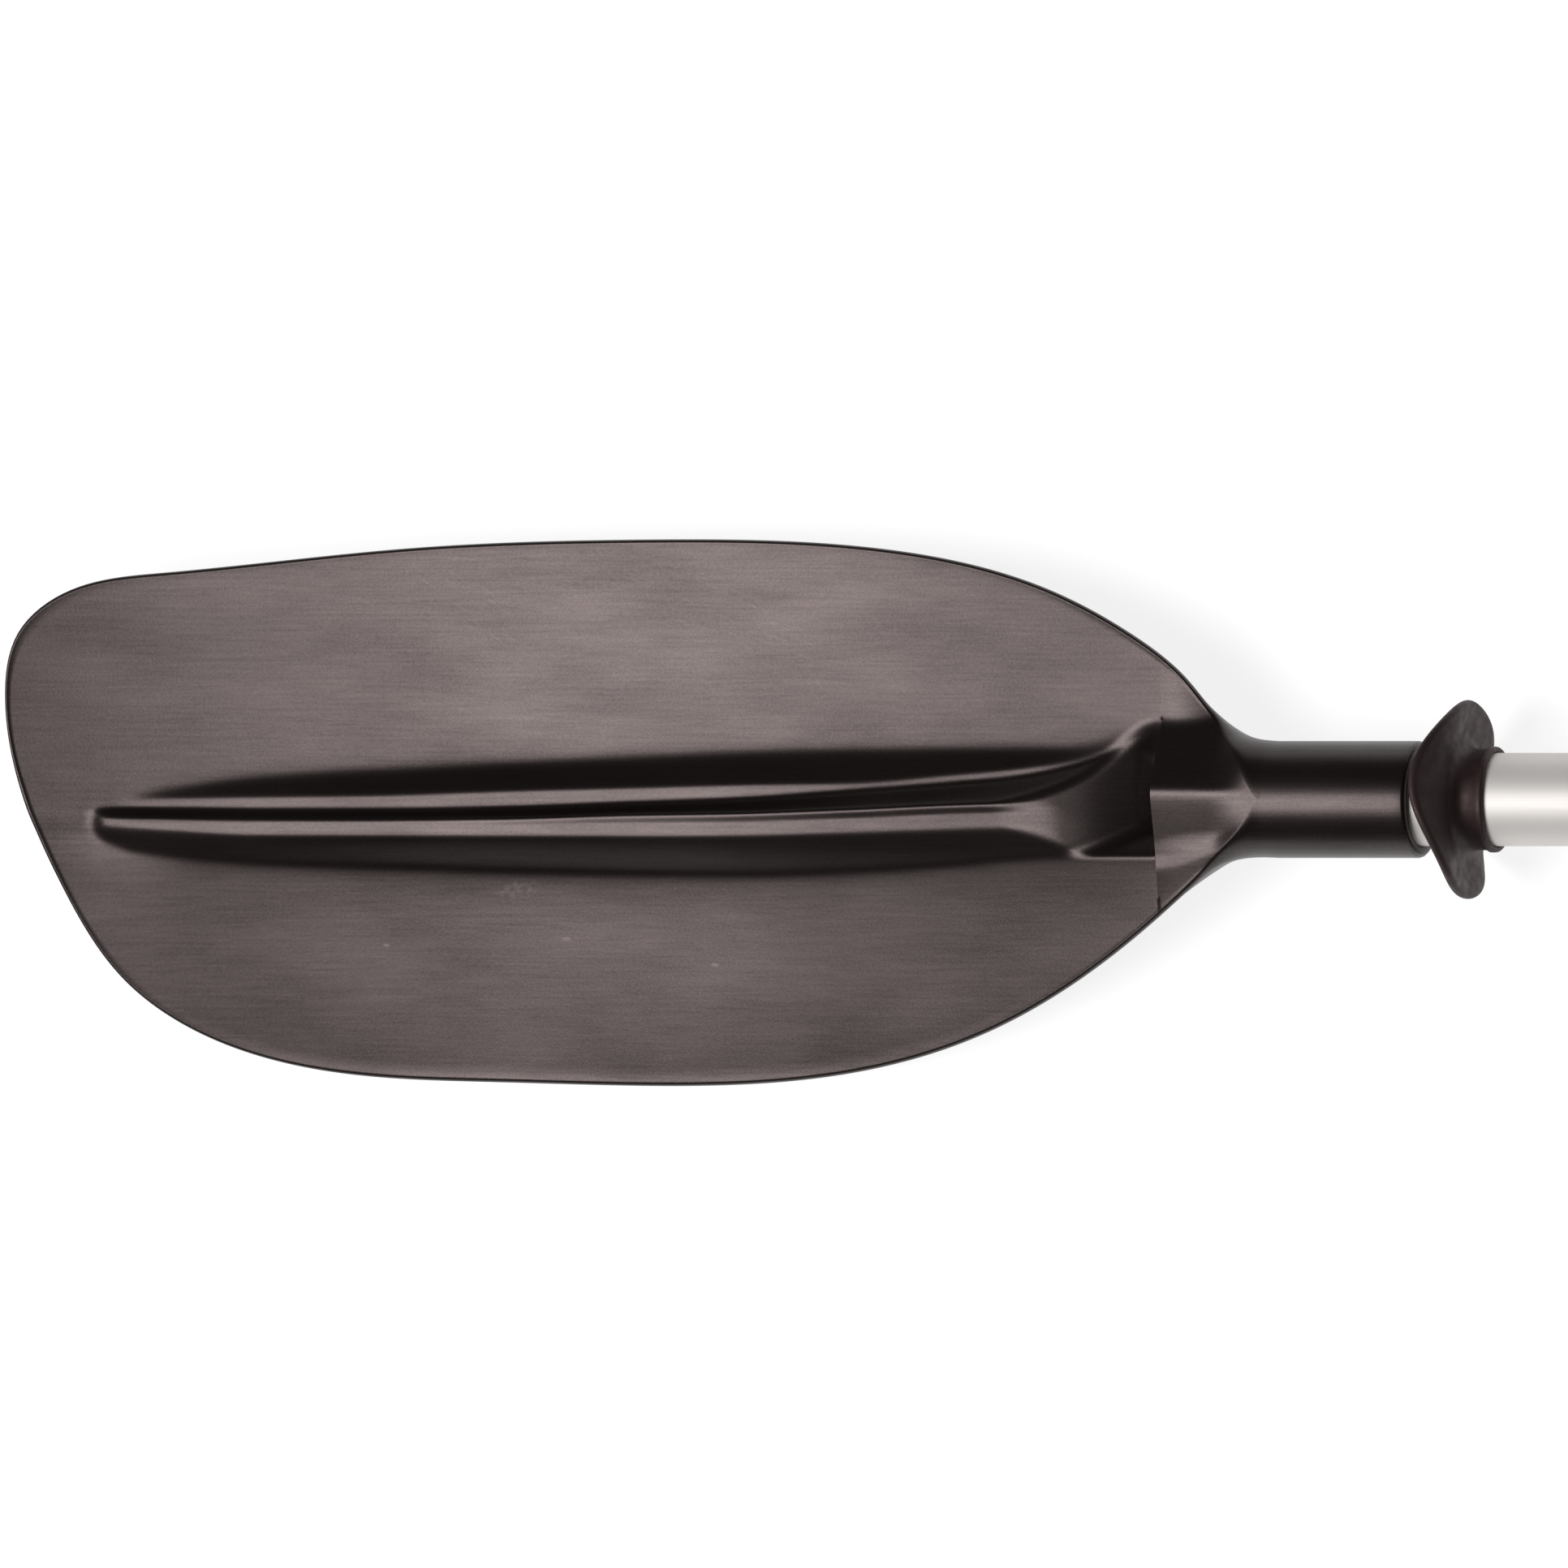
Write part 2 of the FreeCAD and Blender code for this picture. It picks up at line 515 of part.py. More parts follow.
def ferrule():
    """Nylon ferrule fixed in the right tube; its spigot slides into the left tube."""
    body = tube_along_x(-FERRULE_REACH, SEAM_X + FLANGE_LENGTH + FERRULE_SEAT, SPIGOT_RADIUS)
    flange = tube_along_x(SEAM_X, SEAM_X + FLANGE_LENGTH, JOINT_COLLAR_RADIUS)
    body = body.fuse(flange).cut(tube_along_x(-FAR, FAR, FERRULE_BORE_RADIUS))
    body = with_radial_holes(body, -BUTTON_PLACE, BUTTON_RADIUS + RUNNING_GAP, (0.0,))
    return with_radial_holes(body, FERRULE_RIVET_X, RIVET_HOLE_RADIUS, SIDES)


def snap_button():
    """Steel button with a domed top and a thin foot that rests on the spring's leg."""
    foot_height = SPRING_RADIUS + SPRING_THICKNESS / 2 + FACE_GAP / 2
    stem = upright_bar(-BUTTON_PLACE, BUTTON_RADIUS, foot_height, BUTTON_TOP)
    top_edge = [e for e in stem.Edges if abs(e.CenterOfMass.z - BUTTON_TOP) < RUNNING_GAP]
    stem = stem.makeFillet(BUTTON_ROUNDING, top_edge)
    foot_radius = BUTTON_RADIUS + BUTTON_FOOT_RIM
    foot = upright_bar(-BUTTON_PLACE, foot_radius, foot_height, foot_height + BUTTON_FOOT_THICKNESS)
    return stem.fuse(foot).removeSplitter()


def button_spring():
    """Flat steel strip bent into a U inside the ferrule's bore."""
    bend_x = -FERRULE_REACH + SPRING_BEND_PLACE
    leg_end = -BUTTON_PLACE + SPRING_LEG_REACH
    outer = SPRING_RADIUS + SPRING_THICKNESS / 2
    inner = SPRING_RADIUS - SPRING_THICKNESS / 2

    def half_loop(radius):
        top = Vector(bend_x, 0, radius)
        side = Vector(bend_x - radius, 0, 0)
        bottom = Vector(bend_x, 0, -radius)
        return Part.Arc(top, side, bottom).toShape()

    def leg(radius, sign):
        start = Vector(bend_x, 0, sign * radius)
        return Part.LineSegment(start, Vector(leg_end, 0, sign * radius)).toShape()

    def end(sign):
        return Part.LineSegment(Vector(leg_end, 0, sign * inner), Vector(leg_end, 0, sign * outer)).toShape()

    edges = [half_loop(outer), half_loop(inner)]
    for sign in (1, -1):
        edges += [leg(outer, sign), leg(inner, sign), end(sign)]
    wire = Part.Wire(Part.__sortEdges__(edges))
    strip = Part.Face(wire).extrude(Vector(0, SPRING_WIDTH, 0))
    strip.translate(Vector(0, -SPRING_WIDTH / 2, 0))
    return strip


def mirrored(shape):
    return shape.mirror(Vector(0, 0, 0), ALONG_SHAFT)


def side_rivets(place, seat, tail):
    """Two rivets on opposite sides of the joint."""
    return Part.makeCompound([rivet(place, seat, tail, degrees) for degrees in SIDES])


def paddle():
    """Every piece by its node's name."""
    tail = TUBE_BORE_RADIUS - RIVET_TAIL
    inner_tail = FERRULE_BORE_RADIUS - FERRULE_RIVET_TAIL
    float_start = SHAFT_START_X + FLOAT_PLUG_INSET
    left_pieces = {
        "blade": blade(),
        "blade_rivet": rivet(SOCKET_RIVET_X, SOCKET_RADIUS, tail, BACK[0]),
        "drip_ring": drip_ring(),
        "float_plug": tube_along_x(float_start, float_start + PLUG_LENGTH, SPIGOT_RADIUS),
    }
    pieces = {}
    for name, shape in left_pieces.items():
        pieces["left_" + name] = shape
        pieces["right_" + name] = mirrored(shape)
    left_plug_end = COLLAR_RIVET_X - LEFT_PLUG_GAP
    right_plug_start = SEAM_X + FLANGE_LENGTH + FERRULE_SEAT + RIGHT_PLUG_GAP
    right_plug_end = right_plug_start + PLUG_LENGTH
    half_washer = WASHER_THICKNESS / 2
    pieces["left_shaft_tube"] = left_tube()
    pieces["right_shaft_tube"] = right_tube()
    pieces["left_joint_plug"] = tube_along_x(left_plug_end - PLUG_LENGTH, left_plug_end, SPIGOT_RADIUS)
    pieces["right_joint_plug"] = tube_along_x(right_plug_start, right_plug_end, SPIGOT_RADIUS)
    pieces["joint_collar"] = joint_collar()
    pieces["collar_rivets"] = side_rivets(COLLAR_RIVET_X, JOINT_COLLAR_RADIUS, tail)
    pieces["joint_washer"] = tube_along_x(-half_washer, half_washer, JOINT_COLLAR_RADIUS, TUBE_BORE_RADIUS)
    pieces["ferrule"] = ferrule()
    pieces["ferrule_rivets"] = side_rivets(FERRULE_RIVET_X, SHAFT_RADIUS, inner_tail)
    pieces["snap_button"] = snap_button()
    pieces["button_spring"] = button_spring()
    return pieces


for name, shape in paddle().items():
    print(name, len(shape.Solids), "solids, valid:", shape.isValid(), shape.BoundBox)
    shape.exportStep("parts/" + name + ".step")
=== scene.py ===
"""Studio scene of the kayak paddle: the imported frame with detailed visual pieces."""
import math

import bmesh
import bpy
import numpy as np
from mathutils import Euler, Matrix, Vector


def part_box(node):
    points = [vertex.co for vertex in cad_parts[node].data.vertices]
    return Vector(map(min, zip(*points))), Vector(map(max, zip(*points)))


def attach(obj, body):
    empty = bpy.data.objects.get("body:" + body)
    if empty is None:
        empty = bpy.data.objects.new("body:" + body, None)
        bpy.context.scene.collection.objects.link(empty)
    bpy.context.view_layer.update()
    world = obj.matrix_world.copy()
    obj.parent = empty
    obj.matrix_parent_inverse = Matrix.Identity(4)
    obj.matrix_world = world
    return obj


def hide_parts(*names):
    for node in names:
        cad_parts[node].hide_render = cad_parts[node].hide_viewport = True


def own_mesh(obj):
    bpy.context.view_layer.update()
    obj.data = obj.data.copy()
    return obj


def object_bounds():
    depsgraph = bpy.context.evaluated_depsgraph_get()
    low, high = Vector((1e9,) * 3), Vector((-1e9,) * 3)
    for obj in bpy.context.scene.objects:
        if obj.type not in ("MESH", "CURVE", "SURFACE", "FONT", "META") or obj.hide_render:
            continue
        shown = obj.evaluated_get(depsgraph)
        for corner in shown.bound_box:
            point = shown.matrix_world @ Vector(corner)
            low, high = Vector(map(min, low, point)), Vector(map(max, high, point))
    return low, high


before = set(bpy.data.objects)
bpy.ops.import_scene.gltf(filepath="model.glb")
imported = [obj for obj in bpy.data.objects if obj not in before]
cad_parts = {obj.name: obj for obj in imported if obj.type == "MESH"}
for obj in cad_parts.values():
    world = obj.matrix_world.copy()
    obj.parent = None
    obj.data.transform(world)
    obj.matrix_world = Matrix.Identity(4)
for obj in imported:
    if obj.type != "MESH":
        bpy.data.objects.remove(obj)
cad_low, cad_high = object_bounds()

MM = 0.001

# --- Places read from the frame ---------------------------------------------------
BLADE_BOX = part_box("left_blade")
TIP_X = BLADE_BOX[0].x
SOCKET_END_X = BLADE_BOX[1].x
FLOOR_HEIGHT = cad_low.z

SHAFT_RADIUS = 14.5 * MM
TUBE_BORE_RADIUS = 13.2 * MM
SLEEVE_BORE_RADIUS = 14.55 * MM
ROUND_SEGMENTS = 128
HOLE_DEPTH = 6 * MM
HOLE_SEGMENTS = 32
MERGE_DISTANCE = 0.001 * MM
BLADE_MERGE_DISTANCE = 0.02 * MM
SHARP_ANGLE = math.radians(38)

# --- Blade shape: millimetres from the tip, and above the shaft's axis ---------------
BLADE_LENGTH = (SOCKET_END_X - TIP_X) / MM
SOCKET_RADIUS = 18.25
SOCKET_BORE = 14.55
SOCKET_BORE_DEPTH = 80.0
SOCKET_LIP = 1.3
HOOD_STEP = 383.4
HOOD_END = 420.0
WEB_THICKNESS = 3.2
TIP_POINT = (0.3, 33.0)
UPPER_EDGE = [(4.5, 52.5), (19.7, 65.5), (50.0, 71.5), (127.5, 79.0), (206.7, 81.68),
              (288.5, 78.4), (345.0, 65.4), (374.0, 51.0), (391.0, 38.2), (400.5, 27.0),
              (410.5, 19.7), (HOOD_END, SOCKET_RADIUS)]
LOWER_EDGE = [(6.3, -1.3), (15.2, -24.2), (24.4, -43.3), (33.8, -56.7), (52.9, -71.8),
              (77.0, -81.7), (150.0, -89.2), (203.0, -90.25), (262.3, -87.3), (315.3, -74.8),
              (344.0, -61.8), (373.6, -43.3), (396.5, -25.7), (406.0, -19.4),
              (HOOD_END, -SOCKET_RADIUS)]
SPOON_RADIUS = 950.0
SPOON_PLACE = 228.0
SPOON_DEPTH = 9.0
UPPER_DISH = 2.5
UPPER_DISH_START = 10.0
DISH_REACH = 70.0
LOWER_FALL = 0.17
LOWER_FOOT_FALL = 0.12
LOWER_FOOT_REACH = 15.0
LOWER_START = 16.0
LOWER_SOFTNESS = 4.0
TIP_SOFTNESS = 10.0             # more at the tip, fading out over the next two numbers' stretch
TIP_SOFT_START = 15.0
TIP_SOFT_LENGTH = 50.0
LOWER_CURL = 1.0
LOWER_CURL_START = 20.0
RISE_START = 140.0
RISE_LENGTH = 245.0
UPPER_RISE = 3.8
LOWER_RISE = 10.4
SPINE_START = 23.5
SPINE_END_LENGTH = 8.0
SPINE_LINE = [(25, -4.0), (263, -2.0), (384, 0.0)]      # where the rows' middles lie
UPPER_FOOT = [(25, -1.0), (53, 2.6), (80, 6.1), (124, 8.6), (162, 10.4), (202, 12.2),
              (243, 14.0), (283, 15.0), (338, 15.3), (359, 17.0), (384, 25.0)]
UPPER_CREST = [(25, -1.8), (53, 0.2), (124, 1.5), (162, 2.8), (202, 3.8), (243, 4.8),
               (283, 5.6), (311, 7.9), (338, 10.2), (359, 13.5), (384, 23.0)]
UPPER_INNER = [(25, -3.2), (124, -3.7), (162, -3.1), (202, -1.8), (243, -0.2), (283, 2.6),
               (311, 4.6), (338, 7.2), (359, 11.9), (384, 21.5)]
LOWER_CREST = [(25, -5.3), (80, -6.1), (162, -5.8), (202, -4.7), (243, -4.2), (283, -3.0),
               (311, -1.8), (338, -0.9), (384, 3.0)]
LAST_CREST = [(25, -8.5), (53, -10.0), (80, -11.6), (202, -12.1), (243, -11.8), (283, -10.6),
              (338, -8.8), (384, -10.0)]
LOWER_FOOT = [(25, -12.0), (42, -16.5), (80, -19.9), (124, -21.0), (162, -22.2), (243, -23.2),
              (283, -21.8), (311, -20.2), (345, -17.7), (384, -17.5)]
RIB_HEIGHT = [(24, 0.0), (33, 2.4), (53, 4.2), (80, 5.8), (124, 7.8), (182, 9.0), (243, 9.0),
              (311, 7.4), (338, 6.2), (384, 4.0)]
UPPER_RIB_HEIGHT = [(34, 0.0), (53, 1.2), (80, 2.9), (124, 4.2), (182, 5.0), (243, 5.0),
                    (311, 4.0), (338, 2.8), (359, 1.0), (384, 0.0)]
LEDGE_TILT = 0.15
KEEL_LINE = [(0, 22.0), (60, 6.0), (110, -4.0), (150, -10.0), (200, -13.4), (240, -14.8),
             (300, -16.6), (345, -17.8), (HOOD_STEP, -18.2), (HOOD_END, -SOCKET_RADIUS)]
KEEL_HALF_WIDTH = [(60, 14.0), (240, 20.0), (HOOD_STEP, 30.0)]
KEEL_ROUNDNESS = 0.4
POCKET_FLOOR = [(320, 12.0), (338, 7.0), (350, 3.6), (362, -0.8), (374, -7.0), (384, -13.0)]
POCKET_CREST = [(345, 8.4), (365, 15.0), (376, 21.0), (384, 23.0)]
POCKET_FOOT = -17.5
POCKET_START = 320.0
POCKET_WALL_SLOPE = 0.9
POCKET_UPPER_ROUNDNESS = 4.0
POCKET_LOWER_ROUNDNESS = 3.0
POCKET_LIP_ROUNDNESS = 1.2
POCKET_LIP_SOFTENING = 1.8      # more on the upper side, fading in over the next two's stretch
POCKET_LIP_PLACE = -14.0
POCKET_LIP_REACH = 8.0
PANEL_UPPER = [(383, 3.0), (HOOD_END, 2.5)]
PANEL_FALL = 0.30
PANEL_FOLD = [(383, -17.5), (392, -16.5), (404, -12.0), (HOOD_END, -6.0)]
FOLD_SLOPE = 0.05
FOLD_WIDTH = 4.0
FOLD_ROUNDNESS = 1.0
PANEL_ROUNDNESS = 2.0
HOOD_FOOT_ROUNDNESS = 1.5
PANEL_FOOT_SLOPE = 0.35
POCKET_TILT = 0.22
POCKET_MIDDLE = -8.0
CREST_STEP = [(25, 0.1), (124, 0.3), (202, 1.0), (311, 1.5)]
STEP_SHARE = 0.37
# How softly each corner of the spine is rounded.
LOWER_FOOT_ROUNDNESS = 1.6
LAST_CREST_ROUNDNESS = 1.4
LOWER_CREST_ROUNDNESS = 0.8
UPPER_INNER_ROUNDNESS = 1.1
UPPER_CREST_ROUNDNESS = 1.2
UPPER_FOOT_ROUNDNESS = 2.4
PANEL_HEIGHT = SOCKET_RADIUS + 0.7
HOOD_SLOPE = math.tan(math.radians(30.0))
UPPER_SINK = 5.0
LEVEL_PLACE = HOOD_STEP + 8.0
LEVEL_ROUNDNESS = 16.0
CREASE = [(388, -34.0), (401, -20.6), (408, -14.0), (415, -7.0), (HOOD_END, -3.0)]
CREASE_START = 388.0
CREASE_LENGTH = 8.0
CREASE_SLOPE = 1.0
CREASE_ROUNDNESS = 0.5

# How far in from the outline the edge is rounded, and the height of its middle.
UPPER_ROUNDING = [(380, 1.5), (400, 2.5), (410, 6.0), (HOOD_END, SOCKET_RADIUS)]
LOWER_ROUNDING = [(372, 1.5), (395, 2.0), (404, 3.0), (412, 8.0), (HOOD_END, SOCKET_RADIUS)]
MIDDLE_SHARE = [(402, 0.0), (HOOD_END, 1.0)]    # 0: middle of the web, 1: the shaft's axis
RIM_BEAD = 0.45
RIM_BEAD_WIDTH = 2.4


def table_value(table, places):
    """Cubic through a table's entries, level past its ends, at an array of places."""
    x = np.array([entry[0] for entry in table], float)
    y = np.array([entry[1] for entry in table], float)
    slopes = np.zeros(len(x))
    slopes[1:-1] = (y[2:] - y[:-2]) / (x[2:] - x[:-2])
    places = np.clip(places, x[0], x[-1])
    i = np.clip(np.searchsorted(x, places, side="left") - 1, 0, len(x) - 2)
    span = x[i + 1] - x[i]
    t = (places - x[i]) / span
    rise = y[i + 1] - y[i]
    bend = slopes[i] * span - rise
    unbend = rise - slopes[i + 1] * span
    return y[i] + t * rise + t * (1 - t) * ((1 - t) * bend + t * unbend)


def ease(t):
    t = np.clip(t, 0.0, 1.0)
    return t * t * (3 - 2 * t)


def soft_ramp(x, roundness):
    return 0.5 * (x + np.sqrt(x * x + roundness * roundness))


def short_ramp(x, roundness):
    """Like soft_ramp, but exactly 0 and exactly x outside its rounded stretch."""
    return np.where(x > roundness, x, np.clip(x + roundness, 0.0, None) ** 2 / (4 * roundness))


def web_height(along, across):
    """Front of the thin web without its spine."""
    place = along - soft_ramp(along - LEVEL_PLACE, LEVEL_ROUNDNESS)
    spoon = (place - SPOON_PLACE) ** 2 / (2 * SPOON_RADIUS) - SPOON_DEPTH
    rise = ease((place - RISE_START) / RISE_LENGTH)
    narrowing = ease((along - HOOD_STEP) / (HOOD_END - HOOD_STEP))
    dish = UPPER_DISH * (np.maximum(across - UPPER_DISH_START, 0.0) / DISH_REACH) ** 2
    upper = dish + UPPER_RISE * rise - UPPER_SINK * narrowing
    lower = LOWER_RISE * rise - lower_fall(along, across)
    foot = table_value(LOWER_FOOT, place)
    share = ease((across - foot) / (table_value(UPPER_FOOT, place) - foot))
    return spoon + lower + (upper - lower) * share - crease_drop(along, across)


def lower_fall(along, across):
    """How far the lower web has fallen away from the spine; its start is softer near the tip."""
    softness = LOWER_SOFTNESS + TIP_SOFTNESS * (1 - ease((along - TIP_SOFT_START) / TIP_SOFT_LENGTH))
    out = soft_ramp(-across - LOWER_START, softness)
    beside_spine = LOWER_FOOT_FALL * LOWER_FOOT_REACH * (1 - np.exp(-out / LOWER_FOOT_REACH))
    curl = LOWER_CURL * (np.maximum(-across - LOWER_CURL_START, 0.0) / DISH_REACH) ** 4
    return LOWER_FALL * out + beside_spine + curl


def crease_drop(along, across):
    """How far the flank below the lower web's end falls away, beside the socket."""
    beyond = soft_ramp(table_value(CREASE, along) - across, CREASE_ROUNDNESS)
    return CREASE_SLOPE * beyond * ease((along - CREASE_START) / CREASE_LENGTH)


def soft_profile(corners, across):
    """Height of a line through the corners (place, height, roundness), corners rounded."""
    height = corners[0][1] + 0.0 * across
    last_slope = 0.0
    for (x0, y0, r0), (x1, y1, _) in zip(corners, corners[1:]):
        slope = (y1 - y0) / (x1 - x0)
        height = height + (slope - last_slope) * soft_ramp(across - x0, r0)
        last_slope = slope
    x0, _, r0 = corners[-1]
    return height - last_slope * soft_ramp(across - x0, r0)


def spine_relief(along, across):
    """Height of the twin ribs and their groove above the web."""
    rib = table_value(RIB_HEIGHT, along)
    upper_rib = table_value(UPPER_RIB_HEIGHT, along)
    last = table_value(LAST_CREST, along)
    first = table_value(LOWER_CREST, along)
    middle = first + (last - first) * STEP_SHARE
    inner = table_value(UPPER_INNER, along)
    outer = table_value(UPPER_CREST, along)
    rib_level = web_height(along, last) + rib
    first_level = rib_level + table_value(CREST_STEP, along)
    ledge_level = web_height(along, outer) + upper_rib
    inner_level = ledge_level - LEDGE_TILT * (outer - inner)
    level = np.zeros_like(along)
    corners = [
        (table_value(LOWER_FOOT, along), level, LOWER_FOOT_ROUNDNESS),
        (last, rib, LAST_CREST_ROUNDNESS),
        (middle, rib_level - web_height(along, middle), LOWER_CREST_ROUNDNESS),
        (first, first_level - web_height(along, first), LOWER_CREST_ROUNDNESS),
        (inner, inner_level - web_height(along, inner), UPPER_INNER_ROUNDNESS),
        (outer, upper_rib, UPPER_CREST_ROUNDNESS),
        (table_value(UPPER_FOOT, along), level, UPPER_FOOT_ROUNDNESS),
    ]
    return soft_profile(corners, across) * ease((along - SPINE_START) / SPINE_END_LENGTH)


def pocket_relief(along, across):
    """Height above the web of the hollow in front of the hood."""
    floor = table_value(POCKET_FLOOR, along) + POCKET_TILT * (across - POCKET_MIDDLE)
    upper_wall = POCKET_WALL_SLOPE * (across - table_value(POCKET_CREST, along))
    lower_wall = POCKET_WALL_SLOPE * (POCKET_FOOT - across)
    bowl = floor + short_ramp(upper_wall - floor, POCKET_UPPER_ROUNDNESS)
    return bowl + short_ramp(lower_wall - bowl, POCKET_LOWER_ROUNDNESS)


def blade_front(along, across):
    """Front of the blade before the hood: the web, its spine and the hollow."""
    spine = spine_relief(along, across)
    softening = ease((across - POCKET_LIP_PLACE) / POCKET_LIP_REACH)
    roundness = POCKET_LIP_ROUNDNESS + POCKET_LIP_SOFTENING * softening
    hollowed = spine - short_ramp(spine - pocket_relief(along, across), roundness)
    return web_height(along, across) + np.where(along > POCKET_START, hollowed, spine)


def hood_front(along, across):
    """Front of the hood: a gently falling panel and a steep upper flank, over the web."""
    edge = table_value(PANEL_UPPER, along)
    flank = HOOD_SLOPE * soft_ramp(across - edge, PANEL_ROUNDNESS)
    fold = table_value(PANEL_FOLD, along)
    below_fold = soft_ramp(fold - across, FOLD_ROUNDNESS)
    below_foot = soft_ramp(fold - FOLD_WIDTH - across, FOLD_ROUNDNESS)
    fall = PANEL_FALL * soft_ramp(edge - across, PANEL_ROUNDNESS)
    fall = fall - (PANEL_FALL - FOLD_SLOPE) * below_fold
    fall = fall + (PANEL_FOOT_SLOPE - FOLD_SLOPE) * below_foot
    web = web_height(along, across)
    panel = PANEL_HEIGHT - flank - fall - crease_drop(along, across)
    hood = web + short_ramp(panel - web, HOOD_FOOT_ROUNDNESS)
    return hood + (SOCKET_RADIUS - hood) * table_value(MIDDLE_SHARE, along)


def blade_back(along, across):
    """Back of the web with its keel."""
    web = web_height(along, across) - WEB_THICKNESS
    half = table_value(KEEL_HALF_WIDTH, along)
    keel = soft_ramp(web - table_value(KEEL_LINE, along), KEEL_ROUNDNESS)
    bump = np.sqrt(0.5 * (1 + np.cos(np.pi * np.clip(across / half, -1, 1))))
    narrowing = table_value(MIDDLE_SHARE, along)
    keeled = web - keel * bump
    return keeled + (-SOCKET_RADIUS - keeled) * narrowing


class Spline:
    """Natural cubic through points in the plane, by chord length."""

    def __init__(self, points):
        self.points = np.array(points, float)
        chords = np.linalg.norm(np.diff(self.points, axis=0), axis=1)
        self.knots = np.concatenate([[0.0], np.cumsum(chords)])
        count = len(self.points)
        matrix = np.eye(count)
        right = np.zeros((count, 2))
        for i in range(1, count - 1):
            before = self.knots[i] - self.knots[i - 1]
            after = self.knots[i + 1] - self.knots[i]
            matrix[i, i - 1:i + 2] = [before / 6, (before + after) / 3, after / 6]
            right[i] = ((self.points[i + 1] - self.points[i]) / after
                        - (self.points[i] - self.points[i - 1]) / before)
        self.bends = np.linalg.solve(matrix, right)

    def at(self, distances):
        distances = np.clip(distances, 0.0, self.knots[-1])
        i = np.clip(np.searchsorted(self.knots, distances, side="left") - 1, 0, len(self.knots) - 2)
        span = (self.knots[i + 1] - self.knots[i])[:, None]
        after = ((distances - self.knots[i])[:, None]) / span
        before = 1 - after
        curve = (before ** 3 - before) * self.bends[i] + (after ** 3 - after) * self.bends[i + 1]
        return before * self.points[i] + after * self.points[i + 1] + curve * span ** 2 / 6


def edge_by_place(spline, distances_low, distances_high, places):
    """Level of the outline at places from the tip, between two distances along its curve."""
    distances = np.linspace(distances_low, distances_high, EDGE_SAMPLES)
    points = spline.at(distances)
    order = np.argsort(points[:, 0])
    return np.interp(places, points[order, 0], points[order, 1])


# --- Grid of the blade's skin: rows along it, columns across, in millimetres -----------
FAN_PLACE = 78.0        # nearer to the tip than this, the rows fan out round the spine's end
FAN_ROWS = 46
FAN_CENTRE = (17.0, 6.0)
FAN_MEETING = 26.0      # round the outline from the tip, where the first row of the fan lies
FAN_SPACING_POWER = 0.8
FAN_GAP = 2.5           # between the fan's last row and the next one
OUTLINE_SAMPLES = 4000
EDGE_SAMPLES = 1500
WEB_ROW_STEP = 3.0
POCKET_ROW_PLACE = 330.0
POCKET_ROW_STEP = 1.2
HOOD_ROW_GAP = 0.25     # between the last row before the hood's step and the first one on it
HOOD_FIRST_ROW = 1.2
HOOD_ROW_STEP = 1.0
FINE_COLUMNS = 60       # across the spine, on each side
FINE_REACH = 27.0
FINE_SHARE = 0.55       # at most this much of the way to the rim
COARSE_COLUMNS = 28
ROUND_COLUMNS = 8
RIM_ROUNDING = 1.5
RIM_ROUNDING_END = 300.0
SMALLEST_REACH = 1e-6
SOCKET_ROW_STEP = 4.0
SOCKET_FIRST_ROW = 3.0
SOCKET_LAST_GAP = 0.5
LIP_ROWS = 6
BORE_ROW_STEP = 12.5
BORE_FIRST_ROW = 5.0
BORE_CHAMFER = 0.5


def blade_rows():
    """Rows of the blade's grid: (spine point, upper rim point, lower rim point, is_hood)."""
    outline = Spline(LOWER_EDGE[::-1] + [TIP_POINT] + UPPER_EDGE)
    tip_knot = outline.knots[len(LOWER_EDGE)]
    meeting = tip_knot - FAN_MEETING
    distances = np.linspace(0, outline.knots[-1], OUTLINE_SAMPLES)
    points = outline.at(distances)
    in_fan = points[:, 0] < FAN_PLACE
    low_fan = distances[np.where(in_fan & (points[:, 1] < 0))[0][0]]
    high_fan = distances[np.where(in_fan & (points[:, 1] > 0))[0][-1]]
    spine_v = table_value(SPINE_LINE, np.array([FAN_PLACE]))[0]
    rows = []
    for k in range(FAN_ROWS + 1):
        t = k / FAN_ROWS
        upper = outline.at(np.array([meeting + (high_fan - meeting) * t]))[0]
        lower = outline.at(np.array([meeting + (low_fan - meeting) * t]))[0]
        move = t ** FAN_SPACING_POWER
        spine = (FAN_CENTRE[0] + (FAN_PLACE - FAN_CENTRE[0]) * move,
                 FAN_CENTRE[1] + (spine_v - FAN_CENTRE[1]) * move)
        rows.append((spine, tuple(upper), tuple(lower), False))
    web_places = np.arange(FAN_PLACE + FAN_GAP, POCKET_ROW_PLACE, WEB_ROW_STEP)
    pocket_places = np.arange(POCKET_ROW_PLACE, HOOD_STEP, POCKET_ROW_STEP)
    hood_places = np.arange(HOOD_STEP + HOOD_FIRST_ROW, HOOD_END, HOOD_ROW_STEP)
    body = np.concatenate([web_places, pocket_places, [HOOD_STEP]])
    hood = np.concatenate([[HOOD_STEP + HOOD_ROW_GAP], hood_places, [HOOD_END]])
    places = np.concatenate([body, hood])
    upper_v = edge_by_place(outline, high_fan, outline.knots[-1], places)
    lower_v = edge_by_place(outline, 0.0, low_fan, places)
    spine_line = table_value(SPINE_LINE, places)
    for index, place in enumerate(places):
        is_hood = index >= len(body)
        rows.append(((place, spine_line[index]), (place, upper_v[index]),
                     (place, lower_v[index]), is_hood))
    return rows


